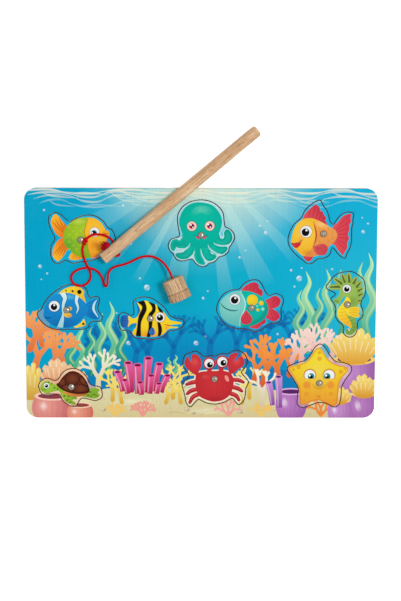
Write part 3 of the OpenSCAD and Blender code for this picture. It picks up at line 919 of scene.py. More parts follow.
def sea_bed(art):
    """Sand, weed and corals along the bottom and sides of the picture."""
    turn = random.Random(11)
    # dim reef in the distance
    for x, y, long, aim in (
        (-58, -58, 17, 80), (-44, -60, 18, 98), (-24, -52, 15, 88), (-70, -58, 17, 110), (40, -50, 17, 78),
        (58, -46, 15, 100), (-92, -60, 14, 92), (76, -40, 13, 85), (8, -46, 13, 92), (30, -48, 14, 84),
        (96, -36, 12, 96),
    ):
        branching(art, x, y, aim, long, 6.2, 3, flat("0b62a8", 0.55), turn, 31, 1.2)
    art.patch(
        [-150, -56, -120, -62, -92, -58, -60, -60, -20, -58, 20, -60, 60, -56, 100, -60, 150, -54, 156, -104,
         -156, -104],
        flat("0f6cae", 0.6),
    )
    # sand
    art.patch(
        [-156, -76, -130, -72, -104, -77, -76, -73, -48, -76, -20, -72, 10, -74, 40, -70, 66, -75, 92, -73,
         120, -77, 156, -72, 160, -106, -160, -106],
        across("ded9ac", "d6c894", 0, -72, 0, -99),
    )
    for x, y, rx, ry in ((-60, -85, 26, 4), (8, -93, 30, 4), (70, -86, 22, 4), (-110, -84, 22, 4)):
        art.lay(oval(x, y, rx, ry), glow("f4f0cf", x, y, rx, 0.7, ry / rx))
    for _ in range(140):
        x, y = turn.uniform(-149, 149), turn.uniform(-98, -78)
        art.lay(
            oval(x, y, turn.uniform(0.25, 0.75), turn.uniform(0.2, 0.45), sides=8),
            flat(turn.choice(("b9a46c", "f6f1d3", "c9b47e")), 0.65),
        )
    for x, y, long in ((-60, -91, 24), (-30, -95, 18), (44, -93, 26), (78, -96, 18), (2, -94, 20), (-118, -95, 16)):
        art.band(
            [x, y, 0.3, x + long * 0.35, y + 1.1, 1.1, x + long * 0.7, y + 0.6, 0.9, x + long, y - 0.6, 0.2],
            "bfae77", 0.45, steps=4,
        )
    # weed
    for x, y, tall, sway, wide, dark, pale in (
        (-111, -64, 38, 3.4, 5.8, "0c8a70", "5cc598"), (-103, -66, 50, -3.6, 6.2, "12a07c", "8fdcab"),
        (-95, -62, 42, 3.4, 5.6, "0b8a74", "4fbf97"), (-86, -64, 56, 3.8, 6.2, "0f9678", "86d7a6"),
        (-76, -66, 68, -4.2, 6.6, "13a07e", "9be0b0"), (-68, -62, 50, 3.6, 5.6, "0a8670", "55c098"),
        (84, -40, 52, 3.8, 5.8, "2c9c8a", "8ad8ae"), (92, -42, 70, -4.4, 6.8, "46b090", "b4ebb6"),
        (100, -38, 52, 3.8, 5.6, "2b9a84", "7fd0a4"), (109, -36, 66, -4.0, 6.2, "41ab8d", "a8e4b2"),
        (118, -30, 60, 3.4, 5.4, "2c9c86", "8ad8ae"), (136, -28, 64, 3.8, 6.2, "36a488", "93dcae"),
        (145, -30, 74, -4.2, 6.6, "48b292", "b0e8b6"), (-28, -62, 16, 2, 3.2, "0c8a70", "5cc598"),
        (-21, -64, 20, -2, 3.4, "12a07c", "86d7a6"),
    ):
        blade(art, x, y, tall, sway, wide, dark, pale)
    # orange and peach corals on the left
    for x, y, long, aim, wide in (
        (-143, -60, 15, 82, 6.4), (-128, -58, 13, 72, 5.8), (-147, -40, 13, 66, 5.4), (-136, -36, 10, 104, 5.0),
        (-118, -54, 10, 96, 5.0),
    ):
        branching(
            art, x, y, aim, long, wide, 3, across("e4703a", "f6a45e", x, y, x, y + long * 2.4), turn, 33, 1.25,
        )
    fingers(art, -123, -72, 13, 20, 6, "d98a5c", "f3c79a", turn, 6.0)
    fingers(art, -108, -72, 9, 14, 5, "dd9a5e", "f4cf9a", turn, 5.2)
    fingers(art, -146, -82, 9, 26, 5, "cfa03c", "f3da70", turn, 4.2)
    vase_sponge(art, -128, -102, 17, 22, "c25b62", "eda195", "8c3a48", "f6c7b6")
    vase_sponge(art, -104, -102, 11, 14, "cf6a5c", "f0a98c", "93433e", "f6cfb4")
    # pale coral and yellow sprigs
    branching(art, -88, -76, 92, 12, 5.0, 3, across("d6cba6", "f3ecd2", -88, -76, -88, -46), turn, 34, 1.25)
    for x, y, aim, long in (
        (-76, -84, 86, 10), (-68, -86, 98, 8), (-24, -82, 84, 11), (-17, -86, 100, 8), (-30, -86, 74, 7),
        (42, -82, 92, 10), (36, -86, 108, 7),
    ):
        branching(art, x, y, aim, long, 3.8, 3, across("d9a83a", "f4de72", x, y, x, y + long * 2), turn, 32, 1.3)
    # pink tubes
    for x, y, tall, wide, lean in (
        (-67, -76, 17, 5.6, -4.6), (-40, -76, 24, 6.2, 4.4), (-60, -77, 26, 6.4, -2.4), (-47, -77, 30, 6.6, 2.0),
        (-54, -78, 25, 6.8, -0.2), (-34, -77, 15, 5.4, 5.4), (-63, -78, 12, 5.4, -2.4), (-44, -78, 16, 5.8, 1.4),
        (-38, -78, 9, 5.0, 2.0), (-51, -79, 11, 5.4, -1.2),
    ):
        tube_sponge(art, x, y, tall, wide, lean, "b31a4c", "ea5f9e", "7a1540")
    # rosy tufts on the sand
    for x, y, long, tone in (
        (-50, -97, 5.4, "ee9a90"), (24, -97, 6, "efa39a"), (52, -97, 5, "f0c66a"), (-74, -97, 4.4, "f0c66a"),
        (104, -97, 6.6, "ee8a3c"),
    ):
        for aim in (50, 90, 130):
            branching(art, x, y, aim, long, 2.6, 2, flat(tone), turn, 32, 1.2)
    # orange and pale corals right of the middle
    for x, y, aim, long, wide in (
        (54, -70, 82, 15, 6.2), (67, -68, 98, 13, 5.8), (46, -66, 74, 10, 5.0), (76, -62, 84, 9, 4.6),
    ):
        branching(
            art, x, y, aim, long, wide, 3, across("dd5f2a", "f79a44", x, y, x, y + long * 2.4), turn, 33, 1.25,
        )
    branching(art, 53, -88, 94, 11, 4.6, 3, across("d6c7a4", "f6efda", 53, -88, 53, -60), turn, 35, 1.25)
    # rosy coral above the star
    for x, y, aim, long in ((86, -54, 86, 11), (99, -52, 96, 12), (78, -50, 72, 8), (112, -50, 84, 9)):
        branching(art, x, y, aim, long, 5.0, 3, across("e7a79e", "f8ddd0", x, y, x, y + long * 2.4), turn, 33, 1.25)
    # purple and yellow on the right
    vase_sponge(art, 132, -76, 20, 28, "8e4a9c", "cf96d4", "5f2b70", "f3d16a")
    fingers(art, 132, -50, 19, 24, 8, "e3a63a", "f8df7c", turn, 6.4)
    vase_sponge(art, 78, -100, 13, 24, "8a3f98", "c487cb", "5a2468", "e2b4e6")
    vase_sponge(art, 141, -104, 12, 26, "83408f", "c084c6", "552463", "f3d16a")
    fingers(art, 141, -80, 11, 15, 6, "dc9c36", "f6da74", turn, 5.0)
    vase_sponge(art, 120, -104, 10, 20, "95509f", "cf98d3", "5f2b70", "f3d16a")
    fingers(art, 120, -86, 8, 11, 5, "dc9c36", "f6da74", turn, 4.4)
    for x, y, tall, wide, lean in ((62, -88, 20, 5.2, -3.4), (68, -90, 27, 5.6, -1.0), (90, -90, 14, 4.8, 3.0)):
        tube_sponge(art, x, y, tall, wide, lean, "8a4a9c", "cf93d6", "5a2468")
    for x, y, r, tone in (
        (-12, -92, 2.6, "b7a27c"), (-6, -95, 1.8, "8f8468"), (34, -94, 2.4, "a8977a"), (-84, -92, 2.4, "a3926f"),
        (0, -96, 1.5, "cbb890"),
    ):
        art.lay(oval(x, y, r, r * 0.62), rounded("e9dfc0", tone, x - r * 0.3, y + r * 0.3, r * 1.2))


# ---------------------------------------------------------------- the creatures' own pictures

def print_green_fish(art):
    """Faces right: green body, yellow face, orange tail."""
    for shape, x0, y0, x1, y1 in (
        (
            [-125, 76, -122, 76, -118, 71, -115, 68, -113.5, 65.5, -113, 61, -113, 57, -117, 57, -121, 58, -125, 63,
             -127.5, 70],
            -126, 74, -114, 58,
        ),
        (
            [-113, 60, -117, 57.4, -122, 54, -125, 49, -126.2, 45, -126, 40.5, -123, 37.2, -121, 37, -117, 41,
             -114, 46, -112.5, 48.5],
            -125, 40, -113, 54,
        ),
    ):
        lobe = art.patch(shape, across("fbb62c", "ec6c22", x0, y0, x1, y1))
        for k in range(4):
            if y0 > y1:
                streak = [
                    -126.5 + k * 3.1, 71 + k * 1.2, 0.5, -121.5 + k * 2.0, 65 + k * 0.6, 1.3, -115.5 + k * 0.6,
                    60 + k * 0.6, 0.5,
                ]
            else:
                streak = [
                    -125.5 + k * 2.6, 42.5 - k * 0.6, 0.5, -121 + k * 1.9, 47.5 - k * 0.3, 1.2, -115.5 + k * 0.7,
                    53.6 - k * 0.9, 0.5,
                ]
            art.band(streak, "cc6418", 0.75, lobe)
    fin = art.patch(
        [-112.3, 39, -111, 43, -107, 46.5, -103, 48.3, -101.5, 44, -100.5, 39, -100.5, 39, -104, 38, -108, 37.5],
        across("f8b52c", "ee8a22", -112, 41, -101, 44),
    )
    for k in range(3):
        art.band(
            [-109.5 + k * 3, 38.6, 0.4, -107.3 + k * 2.4, 42.5, 0.9, -105 + k * 1.6, 46.6, 0.3],
            "cc6418", 0.6, fin,
        )
    body = art.patch(
        [-117.3, 56.5, -115.5, 64, -110.5, 70, -104, 73.2, -96, 74, -90, 73, -85, 69.5, -81.5, 64, -80, 58.5,
         -80.6, 52, -82.5, 47.5, -85.5, 44, -90, 40.5, -94, 39.4, -99, 39.3, -106, 41.5, -112, 46, -116, 51],
        rounded("a6c92e", "84b426", -101, 62, 21),
    )
    art.lay(oval(-113, 48, 11, 8, 35), glow("54a634", -113, 50, 12, 0.85), body)
    art.lay(oval(-104, 70.5, 9, 3.4, 8), glow("e2e96a", -104, 70.5, 9, 0.6, 0.4), body)
    for row in range(5):
        for k in range(4 - row % 2):
            x, y = -112 + row * 3.1 + (row % 2) * 0.4, 47 + k * 6.2 + (row % 2) * 3.1
            if math.hypot(x + 102.3, y - 54.8) > 4.2:
                art.lay(oval(x, y, 0.9, sides=12), flat("cfd634", 0.42), body)
    face = art.patch(
        [-95.5, 75, -97, 70, -98.5, 65, -99, 60, -97.5, 55, -97, 50, -95, 45, -93.5, 39, -93.5, 39, -85, 36,
         -74, 50, -74, 66, -86, 78, -86, 78],
        rounded("fbcb36", "f0a626", -91, 62, 20), body,
    )
    art.band(
        [-95.5, 74.5, 0.4, -98.5, 65, 0.9, -99, 60, 1.0, -97.2, 54, 0.9, -96, 47, 0.7, -93.6, 40.6, 0.3],
        "c98a1f", 0.85, body,
    )
    art.lay(oval(-90, 50.5, 6.4, 5.6), glow("e2701f", -90, 50.5, 6.6, 0.85), body)
    art.lay(oval(-88, 42, 9, 4.5), glow("e6642a", -89, 40, 9, 0.8, 0.5), face)
    art.patch(
        [-80.6, 63.2, -78.6, 62.4, -77.8, 60.3, -78.7, 58.4, -80.8, 57.6, -83, 58.8, -83, 62],
        rounded("fbb52e", "f09a20", -79.5, 61, 4),
    )
    art.band([-84, 60.2, 0.3, -81.5, 60.0, 0.8, -78.3, 60.5, 0.4], "b4581a")
    art.eye(-90.5, 61.5, 4.1, -91, 60.7, 1.9, -92.5, 60.9, 0.75, rim="d08c22", iris="1d8f9e")


def print_octopus(art):
    """Six curling arms under a tall round head."""
    art.lay(oval(0, 71, 20.3, 17.6), glow("f3fbfa", 0, 71, 28, 0.9))
    skin, shade = "00b8a0", "02a090"
    art.patch(
        [-22, 56, -26, 50, -22, 43, -12, 38, 0, 33, 12, 37, 20, 43, 25, 52, 20, 58, 0, 60],
        flat("b3dbe4", 0.9),
    )
    arms = (
        [-12, 49, -19, 48.6, -20.8, 50, -22, 48.4, -22.8, 46.2, -24.5, 46.3, -25.6, 48.4, -25.5, 51.6, -24, 54.4,
         -21, 55.2, -18, 54, -15.6, 56.5, -10, 56],
        [-7, 44.4, -9.4, 41.4, -12, 39.5, -15.5, 38.9, -19, 39.9, -21.3, 41.8, -20.4, 43.3, -16, 43.8, -13.4, 45.6,
         -13, 50, -6, 52],
        [-6, 50, -5.4, 45, -5.3, 41, -4, 37.4, -1.5, 35, 1, 34.2, 3.1, 34.6, 2.2, 37, 0.6, 41, 0.2, 45, 0.6, 50],
        [0.4, 50, 0.9, 44, 2.8, 40, 5, 38, 8, 37.5, 11, 38.8, 12.7, 40.8, 11.5, 42.1, 9, 42.6, 7.4, 45, 7.4, 50],
        [6, 52, 7.6, 46.8, 11, 43.9, 14, 42.9, 18, 43.3, 21, 45.4, 22.2, 48, 20.6, 49.1, 17, 49.2, 13.6, 49.8,
         11.6, 54],
        [9, 56, 11, 52.2, 14, 50.8, 18, 50.4, 22, 51.4, 25, 54, 25.9, 57, 25.2, 60, 23.6, 62.6, 21.5, 63.1,
         20.2, 61, 20.5, 58.4, 19.8, 56, 17.5, 55.2, 15.6, 56.4, 14, 60],
    )
    stout = [grown(curve(arm), 0.6) for arm in arms[:-1]] + [grown(curve(arms[-1]), 0.9)]
    for arm in stout:
        art.lay(grown(arm, 0.5), flat("d3ebf0"))
    for arm in stout:
        limb = art.lay(arm, rounded(skin, shade, 0, 56, 28))
        art.lay(grown(arm, -2.0), flat("18c4ac", 0.4), limb)
    head = art.patch(
        [-1, 87, -8, 86, -14, 82, -17.5, 76, -18.7, 70, -17.5, 64.5, -16, 60, -15.5, 55.5, -11, 50.5, -5, 48.5,
         0, 48.2, 5, 48.5, 11, 51, 14.5, 56, 15.2, 60, 16.6, 64, 17.8, 70, 16.6, 76, 13, 81.5, 8, 85.3],
        rounded("02c0a6", "02b09c", 0, 72, 24),
    )
    art.lay(oval(0, 52, 14, 5), glow("028a88", 0, 51, 14, 0.15, 0.4), head)
    for gap in (
        [10.7, 52.6, 0.3, 12.4, 51.3, 0.9, 15.9, 50.2, 1.3, 20.7, 50.1, 1.2, 26.5, 51.6, 1.4],
        [5.9, 51.0, 0.3, 7.0, 48.1, 0.9, 9.5, 45.7, 1.3, 13.6, 43.3, 1.1, 17.0, 42.4, 1.4],
        [-0.1, 47.5, 0.3, 0.2, 44.3, 0.9, 1.6, 40.7, 1.2, 3.8, 37.7, 1.2, 6.5, 36.0, 1.5],
        [-5.6, 45.9, 0.3, -6.2, 43.1, 1.2, -7.7, 40.0, 1.8],
        [-9.4, 52.1, 0.3, -10.2, 49.9, 0.9, -12.3, 47.9, 1.4, -15.7, 46.1, 2.0, -19.5, 44.8, 2.0],
    ):
        art.band(gap, "b9dde6")
    art.patch(
        [-9, 77, -5, 82.6, 2, 84.2, 9, 81.5, 10.8, 77.2, 5, 76.2, 0, 78.2, -4, 76.4],
        glow("7ce0c6", 0, 81, 12, 0.5, 0.6), head,
    )
    for x, y, shines in (
        (-7.9, 66.7, ((-8.7, 67.7, 0.8), (-7, 65.7, 0.6))), (7.3, 66.9, ((6.1, 68.2, 0.8), (7.8, 66, 0.6))),
    ):
        art.lay(oval(x, y, 4.7), flat("018079", 0.8))
        art.lay(oval(x, y, 4.1), rounded("fbe3d4", "f0c0ac", x, y, 4.3))
        art.lay(oval(x, y, 3.1), rounded("fffaf0", "f4ddc4", x, y, 3.1))
        art.lay(oval(x, y, 2.4), rounded("a8084e", "dc2080", x, y - 0.8, 3))
        art.lay(oval(x, y, 1.3), flat("150611"))
        for sx, sy, r in shines:
            art.lay(oval(sx, sy, r, sides=14), flat("ffffff"))
    for side in (-1, 1):
        art.patch([side * 2, 57.9, side * 4.6, 57.9, side * 3.6, 56.3, side * 1.8, 55.8], flat("e63c86"), head)
        art.band([side * 5.3, 59.6, 0.3, side * 5.0, 58.4, 0.6, side * 2.4, 57.9, 0.3], "04686a", inside=head)


def print_goldfish(art):
    """Faces left: yellow face, warm side, red fins and tail."""
    tail = art.patch(
        [112, 66, 116, 70, 120, 75, 124, 77, 128, 77.5, 128, 77.5, 127, 74, 127.5, 71, 126, 68, 126.3, 64.5,
         125, 60, 126, 56.5, 124.3, 52, 124.7, 49, 122.5, 45, 121, 41.8, 121, 41.8, 117, 46, 114, 50.5, 111.5, 53],
        across("e4545a", "d93a4c", 112, 60, 126, 60),
    )
    for y, ty in ((63.5, 75), (62.3, 70), (61, 65), (59.5, 60.5), (58, 56), (56.5, 51), (55, 46)):
        art.band([114.5, y, 0.35, 119, (y + ty) / 2, 0.8, 124.6, ty, 0.35], "b22e42", 0.7, tail)
    dorsal = art.patch(
        [86.5, 72, 86.5, 73.5, 88, 77, 91, 80.5, 95, 84, 97.5, 85.8, 97.5, 85.8, 98.5, 84.5, 100.3, 83.3, 100.8, 82,
         101.2, 80.5, 102, 79.5, 103.7, 79, 104, 77.5, 105, 75.5, 106.5, 74, 105.7, 72.5, 106, 71, 107, 69, 107, 66,
         95, 68],
        across("e2505a", "cb3346", 90, 72, 103, 80),
    )
    for x, tx, ty in (
        (90, 92.5, 80.5), (93.5, 96.5, 83.8), (96.5, 99.6, 81.8), (99.5, 102, 78.6), (102.5, 104.4, 75),
    ):
        art.band(ray(x, 71.5, tx, ty, 0.35, 0.8, 0.3, 0.4), "a82840", 0.65, dorsal)
    art.patch(
        [86.8, 42.5, 86.8, 41.3, 88, 39, 90, 37.3, 92, 36.8, 94, 38, 95.5, 40.3, 96, 43],
        across("e2505a", "cb3346", 90, 43, 92, 37),
    )
    body = art.patch(
        [76.5, 53, 77, 57, 78.5, 63, 81, 68, 84, 71, 87, 73, 91, 73.7, 95, 73.4, 100, 71.5, 105, 69, 110, 66,
         114, 63.5, 115.9, 60, 115.5, 57, 113, 53, 109, 49.5, 105, 45, 100, 42, 96, 41, 92, 40.8, 86, 42, 82, 45.5,
         79, 48.5],
        across("f6ad50", "e38f4c", 97, 70, 108, 46),
    )
    for row in range(4):
        for k in range(4):
            x, y = 100 + row * 3.7, 48.5 + k * 5 + (row % 2) * 2.5 + row * 0.4
            if math.hypot(x - 104.2, y - 60.4) > 4.4:
                art.band([x - 0.4, y - 2.1, 0.2, x + 1.3, y, 0.75, x - 0.4, y + 2.1, 0.2], "b9662f", 0.35, body)
    art.lay(oval(103, 68.5, 10, 3, -25), glow("ffd987", 103, 68.5, 10, 0.7, 0.5), body)
    art.patch(
        [70, 53, 70, 80, 96, 78, 96.5, 68, 97.2, 62, 97, 57, 95.5, 52, 93.5, 47, 88, 41.5, 80, 38],
        rounded("f9cf46", "f2b62c", 88, 62, 17), body,
    )
    art.lay(oval(91, 44.5, 6, 3.4, -15), glow("cf7a34", 91, 44, 6.5, 0.85, 0.6), body)
    art.band([95.3, 71, 0.3, 97, 65, 1.1, 98, 60, 1.4, 97.5, 55, 1.2, 96, 50.5, 0.4], "c2552a", inside=body)
    art.lay(oval(85, 55.8, 3.6, 2.6), glow("ef8b4c", 85, 55.8, 3.8, 0.7), body)
    art.patch(
        [76.6, 52.4, 80, 52.3, 83, 52.6, 85.6, 54.2, 85.6, 54.2, 84.4, 50.8, 82.5, 48.8, 81, 48.2, 79, 49.2],
        rounded("dc3442", "c42234", 80, 51, 5), body,
    )
    art.band([76.8, 52.6, 0.3, 80.4, 52.2, 0.7, 86.4, 55.2, 0.4], "a8222a", inside=body)
    pectoral = art.patch(
        [95.5, 50.5, 97, 50.2, 100, 51.2, 103, 52, 106, 51, 107.8, 49, 108, 46.5, 107, 44, 104.5, 42, 101.5, 42,
         98.5, 43, 96, 46.5],
        rounded("de5a58", "c93a48", 98, 48.5, 12),
    )
    for tx, ty in ((106.3, 49.6), (107, 46.8), (105.4, 44), (102, 43)):
        art.band(ray(97.4, 48.6, tx, ty, 0.3, 0.7, 0.3), "a82a3c", 0.55, pectoral)
    art.eye(89.3, 62.2, 5.0, 88.8, 61.7, 3.3, 89.6, 63.4, 0.95, rim="c9802c")


def print_blue_fish(art):
    """Faces left: blue with pale stripes, yellow crest."""
    art.lay(oval(-112, -4, 34, 26), flat("149cca", 0.8))
    crest = art.patch(
        [-124.5, 6.5, -121, 9.5, -118, 12, -114, 14, -110, 15, -105, 15, -101.5, 13, -99.5, 10.5, -100, 8, -99, 4,
         -98.2, -1, -101, -2, -108, 4, -118, 5],
        across("fbe23a", "f3bd2c", -122, 12, -100, 2),
    )
    for x, y, tx, ty in (
        (-120, 8, -117.5, 11.6), (-116.3, 8, -114, 13.3), (-112.2, 8, -110.8, 14.3), (-108.3, 7.6, -106.6, 14.2),
        (-104.6, 5, -102.4, 12.4), (-101.6, 2, -100.6, 8),
    ):
        art.band(ray(x, y, tx, ty), "c98322", 0.4, crest)
    for x, y, r in ((-115.2, 11.5, 0.7), (-109.6, 11, 1.0), (-103.8, 10.3, 1.9)):
        art.lay(oval(x, y, r), flat("1d1914"), crest)
    art.patch(
        [-110, -17, -109, -19.3, -106, -18.5, -102.5, -16, -100.3, -13, -99, -15.5, -98.5, -17.5, -100, -19,
         -103, -19.9, -108, -20.4],
        across("f8d93c", "f0b02c", -104, -17, -101, -20),
    )
    art.lay(oval(-100.7, -17.2, 1.0), flat("1d1914"))
    tail = art.patch(
        [-101, -1, -98.5, 0, -94, 3, -90, 4.3, -87.6, 3.6, -88.9, 0.5, -89.8, -3.5, -89, -8, -86.5, -12, -86.5, -12,
         -90, -13.2, -95, -12, -100, -8.6],
        across("168ace", "0e70b8", -98, 0, -90, -6),
    )
    art.band([-89.2, 3.4, 0.5, -91.4, -0.6, 1.8, -91.6, -5.4, 2.0, -88, -11.6, 0.5], "bfe6ec", inside=tail)
    for y, ty in ((-1.5, 2.4), (-4, -1), (-6.2, -5), (-8, -9)):
        art.band(ray(-99, y, -92.6, ty, 0.25, 0.55), "064c8a", 0.6, tail)
    body = art.patch(
        [-126, 7, -130, 3.6, -133, -1.6, -134.5, -7, -134, -12, -129, -17, -123, -19.7, -119, -20.4, -112, -20.2,
         -105, -16.6, -100.5, -11.5, -97.5, -8, -96.6, -4, -98, 0, -101, 3.4, -106, 7.2, -112, 9.2, -119, 9.4],
        across("1a90d2", "127ac0", -116, 8, -116, -18),
    )
    art.patch(
        [-136, -9, -128, -12.5, -118, -14.5, -108, -12.5, -100, -9, -104, -20, -120, -24, -134, -20],
        glow("064a8c", -118, -20, 18, 0.45, 0.8), body,
    )
    art.lay(oval(-112, 6, 9, 2.4, -4), glow("6cc7ea", -112, 6, 9, 0.7, 0.4), body)
    for stripe in (
        [-118.4, 10, 4.6, -116.2, 5, 3.4, -117.5, 0, 2.4, -118, -5, 1.8, -118, -9, 1.5, -118.6, -13, 3.0,
         -120.6, -20.5, 5.2],
        [-105.3, 8, 3.2, -106.5, 2.6, 2.5, -105.4, -1.6, 1.9, -105, -4.4, 1.5, -106.5, -8, 0.7],
    ):
        art.band(resized(stripe, 1.1), "075a9a", 0.75, body, steps=6)
        art.lay(ribbon(stripe, 6), across("d3f0f0", "9fd3dc", -118, 8, -118, -18), body)
    art.lay(oval(-112, -4, 1.7), rounded("f8dc5c", "e6a832", -112, -4, 1.8), body)
    art.lay(oval(-114, -9.6, 3.7, 2.1, -8), rounded("f8dc5c", "e6a02e", -115, -9, 4), body)
    for k in range(3):
        art.band(
            [-116.4 + k * 1.5, -9.3, 0.25, -114.8 + k * 1.4, -10, 0.5, -113.2 + k * 1.3, -10.9, 0.2],
            "c27a20", 0.7, body,
        )
    art.band([-134, -11, 0.4, -131, -12.3, 1.0, -128, -11.6, 0.3], "053f7c", inside=body)
    art.eye(-125.4, -2, 4.6, -125.6, -2.6, 2.8, -125.3, -1.1, 0.85, rim="075a9a")


def print_striped_fish(art):
    """Faces right: yellow with black bands and a long snout."""
    tail = art.patch(
        [-62, -10, -65, -9.6, -68, -10.6, -69, -15, -68, -19.6, -65, -20.6, -62, -20, -60, -15],
        across("2f74c4", "1d4f9f", -62, -15, -69, -15),
    )
    for y in (-12, -14.2, -16.4, -18.4):
        art.band([-61.5, y * 0.6 - 6, 0.25, -64.6, y, 0.5, -67.6, y, 0.25], "123a7c", 0.7, tail)
    art.patch([-56, 2.5, -54.6, -2, -54, -7, -55, -11, -53, -10.4, -51.8, -6, -53, -2, -53.5, 1], flat("2a66b8"))
    body = art.patch(
        [-54.5, 1.5, -48.5, 3, -45, 2.2, -40, 0.3, -37, -1.5, -33.5, -5, -31, -8, -28, -12, -26, -14, -21, -15,
         -17, -15.8, -16.8, -17, -20, -17.4, -25, -18, -26, -19.2, -20.3, -19.7, -20.3, -20.7, -25, -20.9,
         -28.5, -22, -30, -24, -33, -26.5, -36, -27.7, -46, -28.4, -56.5, -27.3, -58.5, -25, -57.5, -22.5,
         -56, -20.5, -55, -17, -57, -16.5, -60, -17.5, -62.5, -19.8, -61.8, -15, -62.2, -10.4, -58, -12.5,
         -55, -11.5, -53.5, -9, -52, -6, -52.5, -3.5, -54, 0],
        across("fbe62c", "f2c626", -44, 0, -44, -27),
    )
    art.lay(oval(-46, -25.5, 14, 4), glow("e2792c", -46, -27, 15, 0.75, 0.4), body)
    for band in (
        [-52, 3.5, 6, -48.8, -1, 3.6, -48.6, -5, 4.0, -51, -10, 4.0, -52.5, -15, 3.0, -53, -20, 3.0,
         -53.6, -28.5, 4.6],
        [-43.2, 3, 4, -40.4, -2, 3.0, -40.6, -6, 3.0, -43.4, -10, 3.4, -43.2, -16, 3.2, -43.5, -21, 2.6,
         -45, -28.6, 3.0],
        [-36.4, -0.4, 2.4, -34.8, -4.6, 3.0, -33, -8.4, 2.0],
        [-36.4, -15.4, 1.8, -35.2, -20, 3.0, -35, -24, 3.0, -36, -28, 2.0],
    ):
        art.band(resized(band, 0.7), "b98f1c", 0.6, body, steps=6)
        art.band(band, "15120f", inside=body, steps=6)
    art.patch(
        [-41.5, -20.1, -43.6, -22, -44.7, -24.5, -43.6, -26.4, -41.5, -27.3, -39.7, -26, -39.4, -23.5,
         -40.1, -21.4],
        rounded("3b86d6", "1f4f9f", -42, -23.5, 4.5), body,
    )
    for tx in (-43, -41.6, -40.4):
        art.band([-41.5, -21.4, 0.2, (tx - 41.5) / 2, -23.6, 0.4, tx, -26, 0.2], "123a7c", 0.7, body)
    art.band([-31.6, -17.4, 0.3, -27.6, -18.5, 0.9, -22, -19.0, 0.4], "c2372a", inside=body)
    art.lay(oval(-29.6, -20.6, 2.4, 1.6), glow("e8743a", -29.6, -20.6, 2.6, 0.7), body)
    art.eye(-35, -11.5, 4.15, -35, -11.8, 2.75, -35.6, -10.6, 0.85, rim="b98f1c")


